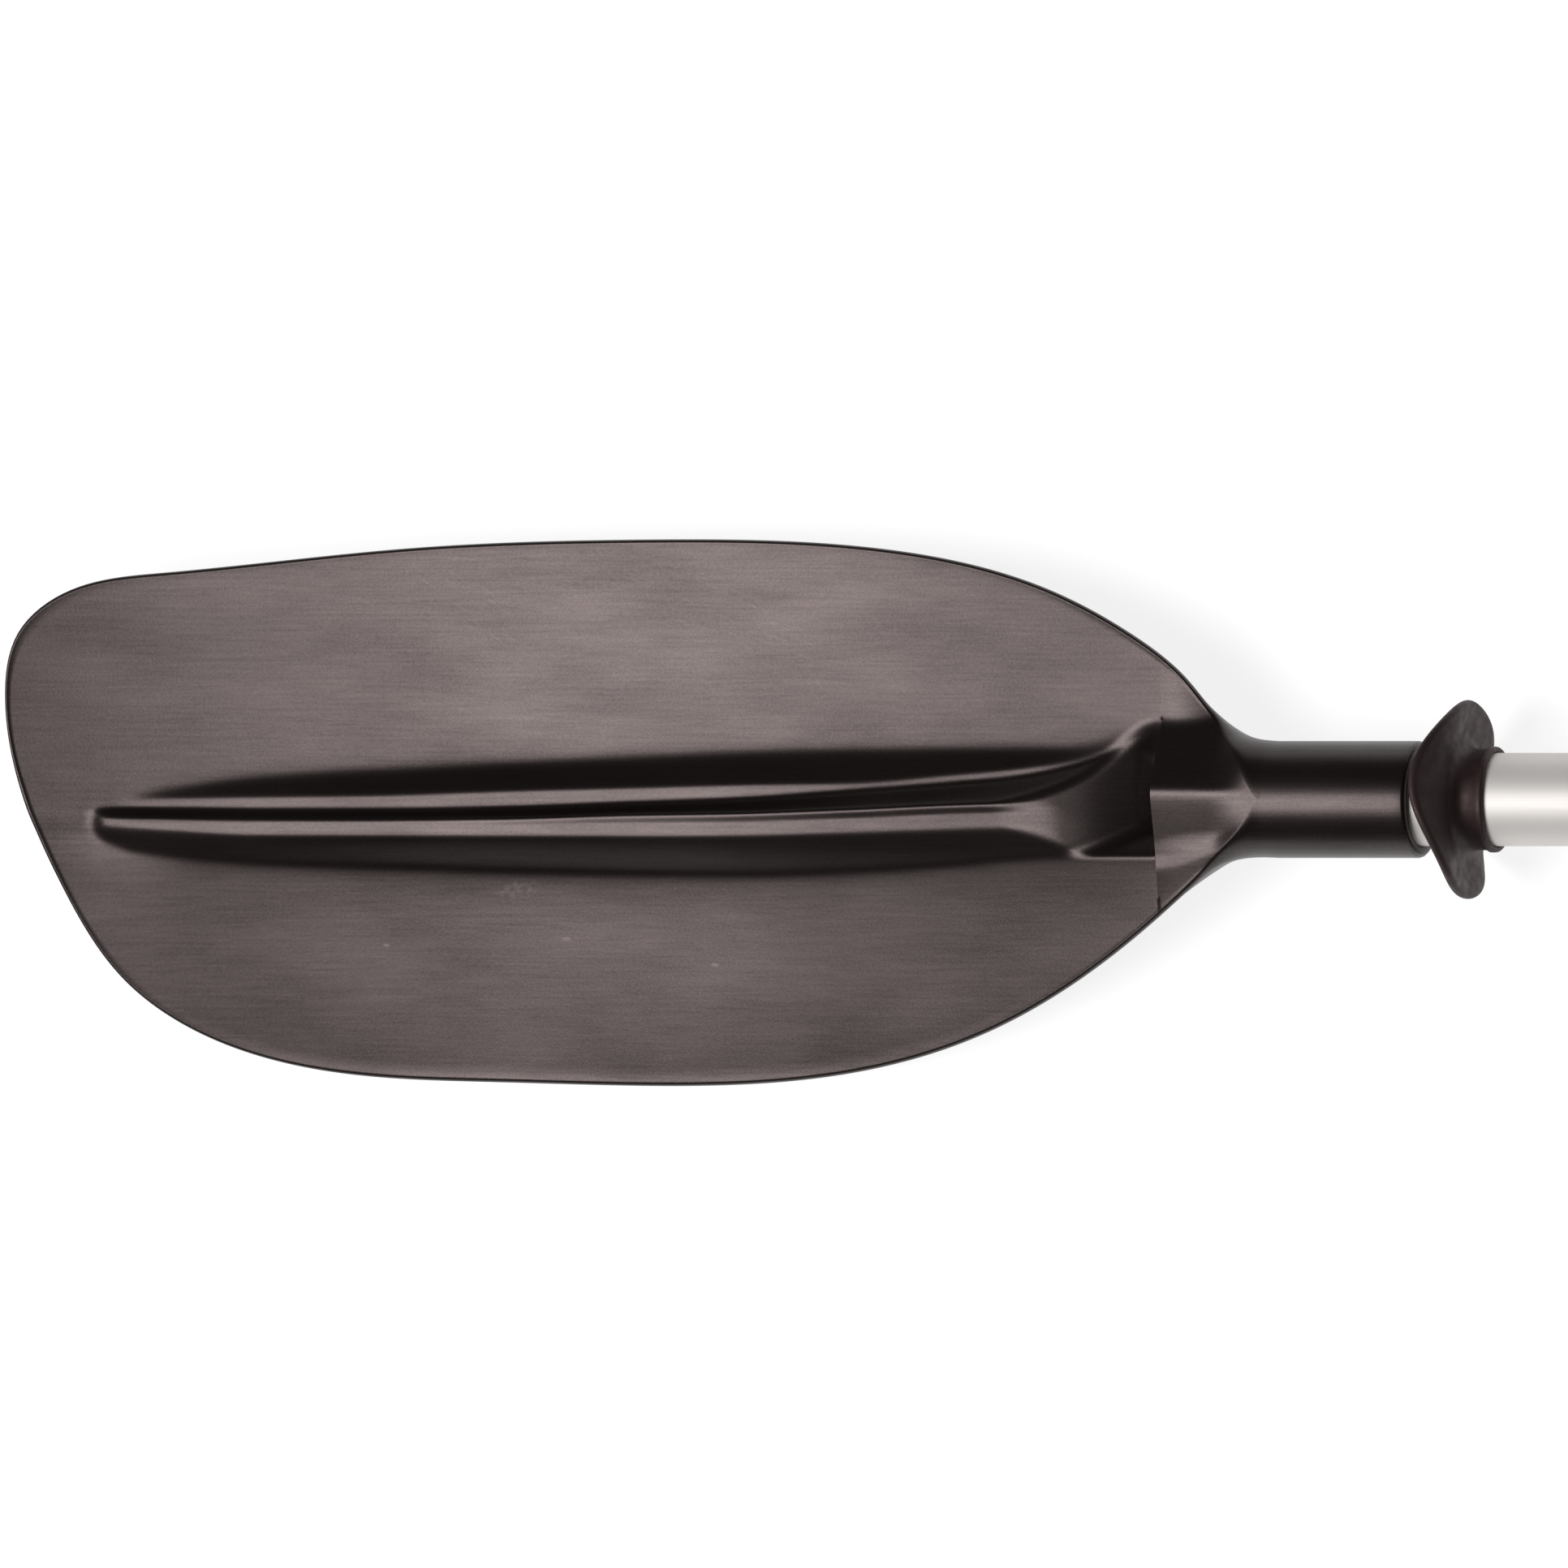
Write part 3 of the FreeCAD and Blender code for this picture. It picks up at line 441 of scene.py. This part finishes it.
def half_section(row, rim, upper, front):
    """Points from the spine to one rim of a row, on the front or the back."""
    spine = np.array(row[0])
    rim = np.array(rim)
    reach = np.linalg.norm(rim - spine)
    table = UPPER_ROUNDING if upper else LOWER_ROUNDING
    rounding = min(table_value(table, np.array([rim[0]]))[0], reach)
    if rim[0] < RIM_ROUNDING_END:
        rounding = RIM_ROUNDING
    fine_reach = min(FINE_REACH, FINE_SHARE * (reach - rounding))
    near = np.linspace(0, fine_reach, FINE_COLUMNS + 1)[:-1]
    far = np.linspace(fine_reach, reach - rounding, COARSE_COLUMNS)
    flat = np.concatenate([near, far])
    angles = np.linspace(0, math.pi / 2, ROUND_COLUMNS + 1)[1:]
    curved = reach - rounding + rounding * np.sin(angles)
    out = np.concatenate([flat, curved])
    share = np.concatenate([np.ones(len(flat)), np.cos(angles)])
    if not front:
        every_other = np.arange(0, len(flat), 2)
        keep = np.unique(np.concatenate([every_other, [len(flat) - 1], np.arange(len(flat), len(out))]))
        out = out[keep]
        share = share[keep]
    points = spine + (rim - spine) * (out / max(reach, SMALLEST_REACH))[:, None]
    along = points[:, 0]
    across = points[:, 1]
    web_share = 1 - table_value(MIDDLE_SHARE, along)
    middle = (web_height(along, across) - WEB_THICKNESS / 2) * web_share
    if front:
        bead = RIM_BEAD * ease(1 - (reach - out) / RIM_BEAD_WIDTH) * web_share
        face = hood_front if row[3] else blade_front
        surface = face(along, across) + bead
    else:
        surface = blade_back(along, across)
    return np.column_stack([points, middle + (surface - middle) * share])


def blade_mesh(name):
    """The whole moulded blade with its socket and bore."""
    loops = []
    for row in blade_rows():
        lower_front = half_section(row, row[2], False, True)
        upper_front = half_section(row, row[1], True, True)
        upper_back = half_section(row, row[1], True, False)
        lower_back = half_section(row, row[2], False, False)
        loops.append(np.vstack([lower_front[::-1], upper_front[1:], upper_back[::-1][1:],
                                lower_back[1:-1]]))
    angles = np.arctan2(loops[-1][:, 2], loops[-1][:, 1])
    for place, radius in socket_profile():
        loops.append(np.column_stack([np.full(len(angles), place), radius * np.cos(angles),
                                      radius * np.sin(angles)]))
    return loops_to_object(name, loops)


def socket_profile():
    """(Place, radius) of each ring of the socket: out along it, round its lip, down its bore."""
    outside_end = BLADE_LENGTH - SOCKET_LIP - SOCKET_LAST_GAP
    bore_end = BLADE_LENGTH - SOCKET_BORE_DEPTH
    profile = [(place, SOCKET_RADIUS)
               for place in np.arange(HOOD_END + SOCKET_FIRST_ROW, outside_end, SOCKET_ROW_STEP)]
    for angle in np.linspace(0, math.pi / 2, LIP_ROWS):
        profile.append((BLADE_LENGTH - SOCKET_LIP * (1 - math.sin(angle)),
                        SOCKET_RADIUS - SOCKET_LIP * (1 - math.cos(angle))))
    profile += [(BLADE_LENGTH, SOCKET_BORE + BORE_CHAMFER), (BLADE_LENGTH - BORE_CHAMFER, SOCKET_BORE)]
    profile += [(place, SOCKET_BORE)
                for place in np.arange(BLADE_LENGTH - BORE_FIRST_ROW, bore_end, -BORE_ROW_STEP)]
    return profile + [(bore_end, SOCKET_BORE)]


def loops_to_object(name, loops):
    """Skin of closed loops of equal length, capped at its last one, merged where they meet."""
    count = len(loops[0])
    mesh = bpy.data.meshes.new(name)
    vertices = np.vstack(loops) * MM
    vertices[:, 0] += TIP_X
    faces = []
    for i in range(len(loops) - 1):
        for j in range(count):
            a = i * count + j
            b = i * count + (j + 1) % count
            faces.append((a, b, b + count, a + count))
    faces.append(tuple((len(loops) - 1) * count + j for j in range(count)))
    mesh.from_pydata(vertices.tolist(), [], faces)
    tidy_mesh(mesh, BLADE_MERGE_DISTANCE)
    thing = bpy.data.objects.new(name, mesh)
    bpy.context.scene.collection.objects.link(thing)
    return thing


def tidy_mesh(mesh, merge=MERGE_DISTANCE):
    """Merge what meets, turn the faces outwards, and shade smooth up to the sharp angle."""
    work = bmesh.new()
    work.from_mesh(mesh)
    bmesh.ops.remove_doubles(work, verts=work.verts, dist=merge)
    bmesh.ops.dissolve_degenerate(work, edges=work.edges, dist=merge)
    bmesh.ops.recalc_face_normals(work, faces=work.faces)
    work.to_mesh(mesh)
    work.free()
    mesh.shade_smooth()
    mesh.set_sharp_from_angle(angle=SHARP_ANGLE)


def mirrored_copy(thing, name):
    """The same piece on the other half: its mirror image about mid-length."""
    mesh = thing.data.copy()
    mesh.name = name
    work = bmesh.new()
    work.from_mesh(mesh)
    for vertex in work.verts:
        vertex.co.x = -vertex.co.x
    bmesh.ops.reverse_faces(work, faces=work.faces)
    work.to_mesh(mesh)
    work.free()
    copy = bpy.data.objects.new(name, mesh)
    bpy.context.scene.collection.objects.link(copy)
    return copy


def turned_profile(name, profile, segments=ROUND_SEGMENTS, offset=None):
    """Closed ring about the shaft's axis from a closed profile of (x, radius) in metres.

    offset(angle, radius) moves a point along the shaft.
    """
    vertices = []
    for k in range(segments):
        angle = 2 * math.pi * k / segments
        for x, radius in profile:
            shift = offset(angle, radius) if offset else 0.0
            vertices.append((x + shift, radius * math.sin(angle), radius * math.cos(angle)))
    count = len(profile)
    faces = []
    for k in range(segments):
        after = (k + 1) % segments
        for j in range(count):
            step = (j + 1) % count
            faces.append((k * count + j, k * count + step, after * count + step, after * count + j))
    mesh = bpy.data.meshes.new(name)
    mesh.from_pydata(vertices, [], faces)
    tidy_mesh(mesh)
    thing = bpy.data.objects.new(name, mesh)
    bpy.context.scene.collection.objects.link(thing)
    return thing


def arc(centre_x, centre_r, radius, start, end, steps):
    """Points of an arc in the (x, radius) plane, angles in degrees from +x."""
    points = []
    for k in range(steps + 1):
        angle = math.radians(start + (end - start) * k / steps)
        points.append((centre_x + radius * math.cos(angle), centre_r + radius * math.sin(angle)))
    return points


# --- Drip ring: millimetres from the flange's middle, along the shaft ------------------
RING_RADIUS = 30.98
RING_SADDLE = 4.2
RING_SADDLE_TURN = math.radians(12.0)
RING_COLLAR_RADIUS = 15.8
RING_SQUARENESS = 0.35         # how much straighter the lobes' sides are than a plain wave
RING_COLLAR_END = 12.7
RING_BEAD = 0.7
RING_PLACE = 479.3             # of the flange's middle, from the blade's tip
RING_SEGMENTS = 160
RING_BORE_START = -2.6
RING_START = -3.4
RING_CHAMFER = 0.8
RING_BLADE_SIDE = [(-3.3, 19.0), (-2.6, 24.0), (-1.9, 28.0)]
RING_SHAFT_SIDE = [(2.0, 28.0), (2.3, 24.0)]
RING_FILLET_START = 2.6
RING_BEAD_START = 3.0          # before the collar's end, like the next one
RING_BEAD_CREST = 2.0
RING_END_CHAMFER = 0.5
RING_EDGE = 1.7                # radius of the flange's edge
RING_FILLET = 4.2
RING_BEAD_RADIUS = 0.8
SADDLE_START = 17.0            # the radius where the flange starts to bend
SADDLE_SHARE = 0.75            # how much of an ease the bend uses


def ring_profile():
    """Closed profile of the drip ring, starting at its bore on the blade's side."""
    bore = SLEEVE_BORE_RADIUS / MM
    points = [(RING_BORE_START, bore), (RING_START, bore + RING_CHAMFER)] + RING_BLADE_SIDE
    points += arc(0.0, RING_RADIUS - RING_EDGE, RING_EDGE, start=165, end=15, steps=10)
    points += RING_SHAFT_SIDE
    points += arc(RING_FILLET_START + RING_FILLET, RING_COLLAR_RADIUS + RING_FILLET, RING_FILLET,
                  start=180, end=270, steps=10)
    points += [(RING_COLLAR_END - RING_BEAD_START, RING_COLLAR_RADIUS)]
    points += [(RING_COLLAR_END - RING_BEAD_CREST, RING_COLLAR_RADIUS + RING_BEAD)]
    points += arc(RING_COLLAR_END - RING_BEAD_RADIUS, RING_COLLAR_RADIUS + RING_BEAD - RING_BEAD_RADIUS,
                  RING_BEAD_RADIUS, start=90, end=0, steps=4)
    points += [(RING_COLLAR_END, bore + RING_END_CHAMFER), (RING_COLLAR_END - RING_END_CHAMFER, bore)]
    return points


def ring_saddle(angle, radius):
    """Shift of the flange along the shaft: towards the blade at the front and the back."""
    out = (radius / MM - SADDLE_START) / (RING_RADIUS - SADDLE_START)
    reach = ease(out * SADDLE_SHARE) / ease(SADDLE_SHARE)
    turn = 2 * (angle - RING_SADDLE_TURN)
    return -RING_SADDLE * MM * reach * (math.cos(turn) + RING_SQUARENESS * math.cos(2 * turn))


def drip_ring():
    middle = TIP_X + RING_PLACE * MM
    profile = [(middle + x * MM, radius * MM) for x, radius in ring_profile()]
    return turned_profile("left_ring_rubber", profile, RING_SEGMENTS, ring_saddle)


def tube_profile(start, end, outer, inner, chamfer=0.3 * MM):
    return [(start, inner + chamfer), (start, outer - chamfer), (start + chamfer, outer),
            (end - chamfer, outer), (end, outer - chamfer), (end, inner + chamfer),
            (end - chamfer, inner), (start + chamfer, inner)]


def shaft_tube(name, box, holes):
    tube = turned_profile(name, tube_profile(box[0].x, box[1].x, SHAFT_RADIUS, TUBE_BORE_RADIUS))
    cut_radial_holes(tube, holes)
    return tube


def cut_radial_holes(thing, holes):
    """Cut round holes (place, radius, angle about the shaft from the front) through one wall."""
    cutters = bmesh.new()
    for place, radius, degrees in holes:
        turn = Matrix.Rotation(math.radians(degrees), 4, "X")
        where = Matrix.Translation((place * MM, 0, 0)) @ turn @ Matrix.Translation((0, 0, SHAFT_RADIUS))
        bmesh.ops.create_cone(cutters, cap_ends=True, segments=HOLE_SEGMENTS, radius1=radius * MM,
                              radius2=radius * MM, depth=HOLE_DEPTH, matrix=where)
    mesh = bpy.data.meshes.new("hole_cutters")
    cutters.to_mesh(mesh)
    cutters.free()
    cutter = bpy.data.objects.new("hole_cutters", mesh)
    bpy.context.scene.collection.objects.link(cutter)
    cut = thing.modifiers.new("holes", "BOOLEAN")
    cut.operation = "DIFFERENCE"
    cut.solver = "EXACT"
    cut.object = cutter
    drilled = bpy.data.meshes.new_from_object(thing.evaluated_get(bpy.context.evaluated_depsgraph_get()))
    thing.modifiers.remove(cut)
    thing.data = drilled
    bpy.data.objects.remove(cutter)
    tidy_mesh(drilled)


# --- Button spring: a flat strip bent into a U, in millimetres -------------------------
SPRING_RADIUS = 8.2
SPRING_THICKNESS = 0.8
SPRING_WIDTH = 8.0
SPRING_BEND_X = -68.0
SPRING_END_X = -29.0
SPRING_BEND_STEPS = 32


def button_spring():
    """The strip's mesh: a rectangle swept along the two legs and the bend between them."""
    path = [(SPRING_END_X, SPRING_RADIUS, 0.0, 1.0)]
    for k in range(SPRING_BEND_STEPS + 1):
        angle = math.radians(90 + 180 * k / SPRING_BEND_STEPS)
        path.append((SPRING_BEND_X + SPRING_RADIUS * math.cos(angle),
                     SPRING_RADIUS * math.sin(angle), math.cos(angle), math.sin(angle)))
    path.append((SPRING_END_X, -SPRING_RADIUS, 0.0, -1.0))
    vertices = []
    for x, z, out_x, out_z in path:
        for out, side in ((1, 1), (1, -1), (-1, -1), (-1, 1)):
            half = out * SPRING_THICKNESS / 2
            vertices.append(((x + out_x * half) * MM, side * SPRING_WIDTH / 2 * MM,
                             (z + out_z * half) * MM))
    faces = [(0, 1, 2, 3), tuple(len(vertices) - 1 - k for k in range(4))]
    for i in range(len(path) - 1):
        for j in range(4):
            a = 4 * i + j
            b = 4 * i + (j + 1) % 4
            faces.append((a, b, b + 4, a + 4))
    mesh = bpy.data.meshes.new("button_spring_strip")
    mesh.from_pydata(vertices, [], faces)
    tidy_mesh(mesh)
    thing = bpy.data.objects.new("button_spring_strip", mesh)
    bpy.context.scene.collection.objects.link(thing)
    return thing


# --- Materials: colours, and sizes of their patterns in metres --------------------------
PLASTIC_COLOUR = (0.0055, 0.0035, 0.0036, 1)
PLASTIC_SHEEN = (1.0, 0.82, 0.80, 1)
WORN_COLOUR = (0.085, 0.072, 0.07, 1)
PLASTIC_ROUGHNESS = 0.34
CLOUD_SIZE = (0.05, 0.02, 0.05)
BRUSHING_SIZE = (0.02, 0.0009, 0.02)
GRAIN_SCALE = 1400.0
GRAIN_BUMP_STRENGTH = 0.12
GRAIN_BUMP_HEIGHT = 0.0001
RUBBER_COLOUR = (0.015, 0.0075, 0.0078, 1)
RUBBER_SHEEN = (1.0, 0.76, 0.75, 1)
DUST_SCALE = 260.0
ALUMINIUM_COLOUR = (0.80, 0.765, 0.735, 1)
DRAWN_LINE_SIZE = (0.05, 0.0004, 0.0004)

# How a pattern is moved into a range of levels: from low, from high, to low, to high.
CLOUD_LEVELS = (0.3, 0.7, 0.40, 0.55)
BRUSHING_LEVELS = (0.3, 0.7, -0.05, 0.05)
GRAIN_LEVELS = (0.3, 0.7, -0.06, 0.06)
SCRATCH_LEVELS = (0.56, 0.72, 0.0, 0.6)
SMUDGE_LEVELS = (0.4, 0.62, 0.0, 0.6)
SPOT_LEVELS = (0.5, 1.0, 1.0, 0.0)
DUST_LEVELS = (0.35, 0.7, 0.5, 0.68)
DRAWN_LINE_LEVELS = (0.3, 0.7, 0.55, 0.61)

# Marks on the left blade: (place from the tip, level), half sizes, and turn in radians.
SCRATCH_SIZE = (0.014, 0.0011, 1)
SCRATCH_PATCHES = [((0.146, 0.061), (0.030, 0.011), -0.55), ((0.232, 0.058), (0.045, 0.012), -0.35)]
SMUDGE = ((0.163, -0.0285), (0.009, 0.0035), 0.2)
SMUDGE_SCALE = 500.0
SPECKS = [((0.2275, -0.052), 0.0008), ((0.119, -0.046), 0.0007), ((0.178, -0.044), 0.0009)]


def new_material(name, roughness, metallic=0.0):
    material = bpy.data.materials.new(name)
    material.use_nodes = True
    nodes = material.node_tree.nodes
    shader = nodes["Principled BSDF"]
    shader.inputs["Roughness"].default_value = roughness
    shader.inputs["Metallic"].default_value = metallic
    return material, nodes, material.node_tree.links, shader


def placed_coordinates(nodes, links, centre=(0, 0, 0), turn=0.0, radii=(1, 1, 1)):
    """Object coordinates measured from a centre, turned about Z, in units of the radii."""
    coordinates = nodes.new("ShaderNodeTexCoord")
    mapping = nodes.new("ShaderNodeMapping")
    mapping.vector_type = "TEXTURE"
    mapping.inputs["Location"].default_value = centre
    mapping.inputs["Rotation"].default_value = (0, 0, turn)
    mapping.inputs["Scale"].default_value = radii
    links.new(coordinates.outputs["Object"], mapping.inputs["Vector"])
    return mapping.outputs["Vector"]


def noise(nodes, links, vector, scale=1.0, detail=3.0):
    texture = nodes.new("ShaderNodeTexNoise")
    texture.inputs["Scale"].default_value = scale
    texture.inputs["Detail"].default_value = detail
    links.new(vector, texture.inputs["Vector"])
    return texture.outputs["Fac"]


def ranged(nodes, links, value, low, high, to_low, to_high):
    """The value moved from one range into another, clamped."""
    step = nodes.new("ShaderNodeMapRange")
    limits = (("From Min", low), ("From Max", high), ("To Min", to_low), ("To Max", to_high))
    for name, limit in limits:
        step.inputs[name].default_value = limit
    links.new(value, step.inputs["Value"])
    return step.outputs["Result"]


def combined(nodes, links, operation, first, second):
    step = nodes.new("ShaderNodeMath")
    step.operation = operation
    links.new(first, step.inputs[0])
    links.new(second, step.inputs[1])
    return step.outputs["Value"]


def spot(nodes, links, centre, radii, turn=0.0):
    """1 inside a small ellipse that lies flat on the blade, 0 outside it."""
    vector = placed_coordinates(nodes, links, (*centre, 0), turn, (*radii, 1))
    length = nodes.new("ShaderNodeVectorMath")
    length.operation = "LENGTH"
    links.new(vector, length.inputs[0])
    return ranged(nodes, links, length.outputs["Value"], *SPOT_LEVELS)


def from_tip(place, level):
    return TIP_X + place, level


def scratches(nodes, links, centre, radii, turn):
    """A patch of fine parallel lines."""
    lines = placed_coordinates(nodes, links, (*centre, 0), turn, SCRATCH_SIZE)
    broken = ranged(nodes, links, noise(nodes, links, lines, detail=2.0), *SCRATCH_LEVELS)
    return combined(nodes, links, "MULTIPLY", broken, spot(nodes, links, centre, radii, turn))


def blade_marks(nodes, links):
    """Light scratches, a smudge and specks of use on the left blade, 0 to 1."""
    patches = [scratches(nodes, links, from_tip(*centre), radii, turn)
               for centre, radii, turn in SCRATCH_PATCHES]
    centre, radii, turn = SMUDGE
    patchy = noise(nodes, links, placed_coordinates(nodes, links), SMUDGE_SCALE)
    patchy = ranged(nodes, links, patchy, *SMUDGE_LEVELS)
    smudge = spot(nodes, links, from_tip(*centre), radii, turn)
    patches.append(combined(nodes, links, "MULTIPLY", smudge, patchy))
    for centre, size in SPECKS:
        patches.append(spot(nodes, links, from_tip(*centre), (size * 2, size)))
    marks = patches[0]
    for patch in patches[1:]:
        marks = combined(nodes, links, "ADD", marks, patch)
    return marks


def blade_plastic():
    """Dark moulded plastic: satin, with cloudy wear, fine lengthwise brushing and light marks."""
    material, nodes, links, shader = new_material("blade_plastic", PLASTIC_ROUGHNESS)
    shader.inputs["Base Color"].default_value = PLASTIC_COLOUR
    shader.inputs["Specular Tint"].default_value = PLASTIC_SHEEN
    clouds = noise(nodes, links, placed_coordinates(nodes, links, radii=CLOUD_SIZE), detail=4.0)
    brushing = noise(nodes, links, placed_coordinates(nodes, links, radii=BRUSHING_SIZE), detail=3.0)
    grain = noise(nodes, links, placed_coordinates(nodes, links), GRAIN_SCALE, detail=2.0)
    level = ranged(nodes, links, clouds, *CLOUD_LEVELS)
    level = combined(nodes, links, "ADD", level, ranged(nodes, links, brushing, *BRUSHING_LEVELS))
    level = combined(nodes, links, "ADD", level, ranged(nodes, links, grain, *GRAIN_LEVELS))
    links.new(level, shader.inputs["Specular IOR Level"])
    colour = nodes.new("ShaderNodeValToRGB")
    colour.color_ramp.elements[0].color = PLASTIC_COLOUR
    colour.color_ramp.elements[1].color = WORN_COLOUR
    links.new(blade_marks(nodes, links), colour.inputs["Fac"])
    links.new(colour.outputs["Color"], shader.inputs["Base Color"])
    bump = nodes.new("ShaderNodeBump")
    bump.inputs["Strength"].default_value = GRAIN_BUMP_STRENGTH
    bump.inputs["Distance"].default_value = GRAIN_BUMP_HEIGHT
    links.new(grain, bump.inputs["Height"])
    links.new(bump.outputs["Normal"], shader.inputs["Normal"])
    return material


def ring_rubber():
    """Matt moulded rubber, a little dusty."""
    material, nodes, links, shader = new_material("ring_rubber", roughness=0.6)
    shader.inputs["Base Color"].default_value = RUBBER_COLOUR
    shader.inputs["Specular Tint"].default_value = RUBBER_SHEEN
    dust = noise(nodes, links, placed_coordinates(nodes, links), DUST_SCALE, detail=4.0)
    links.new(ranged(nodes, links, dust, *DUST_LEVELS), shader.inputs["Roughness"])
    return material


def satin_aluminium():
    """Anodised tube, drawn lengthwise: fine lines along the shaft."""
    material, nodes, links, shader = new_material("anodised_aluminium", roughness=0.58, metallic=0.45)
    shader.inputs["Base Color"].default_value = ALUMINIUM_COLOUR
    lines = noise(nodes, links, placed_coordinates(nodes, links, radii=DRAWN_LINE_SIZE), detail=2.0)
    links.new(ranged(nodes, links, lines, *DRAWN_LINE_LEVELS), shader.inputs["Roughness"])
    return material


def plain(name, colour, roughness, metallic=0.0):
    material, _, _, shader = new_material(name, roughness, metallic)
    shader.inputs["Base Color"].default_value = (*colour, 1)
    return material


PLASTIC = blade_plastic()
RUBBER = ring_rubber()
ALUMINIUM = satin_aluminium()
NYLON = plain("black_nylon", (0.02, 0.02, 0.022), 0.4)
WASHER = plain("natural_nylon", (0.6, 0.58, 0.52), 0.45)
STEEL = plain("stainless_steel", (0.6, 0.6, 0.6), 0.3, 1.0)
FOAM = plain("closed_cell_foam", (0.25, 0.25, 0.26), 0.9)

NODE_MATERIALS = {"joint_collar": NYLON, "ferrule": NYLON, "joint_washer": WASHER,
                  "collar_rivets": STEEL, "ferrule_rivets": STEEL, "snap_button": STEEL,
                  "left_blade_rivet": STEEL, "right_blade_rivet": STEEL, "left_float_plug": FOAM,
                  "right_float_plug": FOAM, "left_joint_plug": FOAM, "right_joint_plug": FOAM}


def finish_piece(thing, material, body, node):
    """Give a visual piece its material and the body it rides on, and hide the node it stands for."""
    thing.data.materials.clear()
    thing.data.materials.append(material)
    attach(thing, body)
    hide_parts(node)


left_blade = blade_mesh("left_blade_moulding")
right_blade = mirrored_copy(left_blade, "right_blade_moulding")
finish_piece(left_blade, PLASTIC, "left_half", "left_blade")
finish_piece(right_blade, PLASTIC, "right_half", "right_blade")

left_ring = drip_ring()
right_ring = mirrored_copy(left_ring, "right_ring_rubber")
finish_piece(left_ring, RUBBER, "left_ring", "left_drip_ring")
finish_piece(right_ring, RUBBER, "right_ring", "right_drip_ring")

# Holes through the tubes' walls: (place in millimetres, radius, degrees round from the front).
FEATHER_HOLE = 4.0
RIVET_HOLE = 2.05
BUTTON_PLACE = 35.0
COLLAR_RIVET_PLACE = 90.0
FERRULE_RIVET_PLACE = 44.6
BLADE_RIVET_PLACE = 657.8
LEFT_HOLES = [(-BUTTON_PLACE, FEATHER_HOLE, angle) for angle in (-60, 0, 60)]
LEFT_HOLES += [(-COLLAR_RIVET_PLACE, RIVET_HOLE, angle) for angle in (90, -90)]
LEFT_HOLES += [(-BLADE_RIVET_PLACE, RIVET_HOLE, 180)]
RIGHT_HOLES = [(FERRULE_RIVET_PLACE, RIVET_HOLE, angle) for angle in (90, -90)]
RIGHT_HOLES += [(BLADE_RIVET_PLACE, RIVET_HOLE, 180)]

for side, body, holes in (("left", "left_half", LEFT_HOLES), ("right", "right_half", RIGHT_HOLES)):
    tube = shaft_tube(side + "_tube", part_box(side + "_shaft_tube"), holes)
    finish_piece(tube, ALUMINIUM, body, side + "_shaft_tube")

spring = button_spring()
finish_piece(spring, STEEL, "right_half", "button_spring")
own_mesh(spring)

for node, material in NODE_MATERIALS.items():
    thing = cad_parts[node]
    thing.data.materials.clear()
    thing.data.materials.append(material)

# --- Studio ---------------------------------------------------------------------------
VIEW_TILT = math.radians(20.0)          # the camera stands this far towards +X
CAMERA_DISTANCE = 10.0
CAMERA_REACH = 50                       # nothing farther off is drawn
SENSOR_WIDTH = 36                       # millimetres
FRAME_WIDTH = 0.4916                    # what the frame spans at the blade
TARGET = Vector((TIP_X + 0.2557, 0.00483, 0.0))
FLOOR_HALF_WIDTH = 12.0
FLOOR_GAP = 0.0005
FLOOR_GREY = (0.25, 0.25, 0.25)
FLOOR_GLOW = 0.86


def place_facing(thing, target, azimuth, elevation, distance):
    """Stand away from the target and look at it; angles lean towards +X and towards +Y."""
    thing.rotation_euler = Euler((-elevation, azimuth, 0), "XYZ")
    back = thing.rotation_euler.to_matrix() @ Vector((0, 0, 1))
    thing.location = Vector(target) + back * distance


def studio_camera():
    data = bpy.data.cameras.new("camera")
    camera = bpy.data.objects.new("camera", data)
    bpy.context.scene.collection.objects.link(camera)
    data.sensor_width = SENSOR_WIDTH
    data.lens = data.sensor_width * CAMERA_DISTANCE / FRAME_WIDTH
    data.clip_end = CAMERA_REACH
    place_facing(camera, TARGET, VIEW_TILT, 0, CAMERA_DISTANCE)
    bpy.context.scene.camera = camera


def area_light(name, azimuth, elevation, distance, size, size_y, power):
    """A soft rectangular light; its angles are in degrees."""
    data = bpy.data.lights.new(name, "AREA")
    data.shape = "RECTANGLE"
    data.size = size
    data.size_y = size_y
    data.energy = power
    light = bpy.data.objects.new(name, data)
    light.visible_camera = False
    bpy.context.scene.collection.objects.link(light)
    place_facing(light, TARGET, math.radians(azimuth), math.radians(elevation), distance)


def studio_floor():
    """Plain pale paper under the paddle, glowing a little so that it stays white."""
    mesh = bpy.data.meshes.new("floor")
    half = FLOOR_HALF_WIDTH
    height = FLOOR_HEIGHT - FLOOR_GAP
    corners = [(-half, -half, height), (half, -half, height), (half, half, height), (-half, half, height)]
    mesh.from_pydata(corners, [], [(0, 1, 2, 3)])
    floor = bpy.data.objects.new("floor", mesh)
    bpy.context.scene.collection.objects.link(floor)
    paper = plain("floor_paper", FLOOR_GREY, 0.9)
    shader = paper.node_tree.nodes["Principled BSDF"]
    shader.inputs["Emission Color"].default_value = (1, 1, 1, 1)
    shader.inputs["Emission Strength"].default_value = FLOOR_GLOW
    floor.data.materials.append(paper)


def world_light(strength):
    world = bpy.data.worlds.new("studio")
    world.use_nodes = True
    background = world.node_tree.nodes["Background"]
    background.inputs["Color"].default_value = (1, 1, 1, 1)
    background.inputs["Strength"].default_value = strength
    bpy.context.scene.world = world


studio_camera()
studio_floor()
world_light(strength=0.06)
area_light("softbox", azimuth=-20, elevation=-7, distance=2.2, size=1.2, size_y=1.2, power=45)
bpy.context.scene.view_settings.view_transform = "Standard"
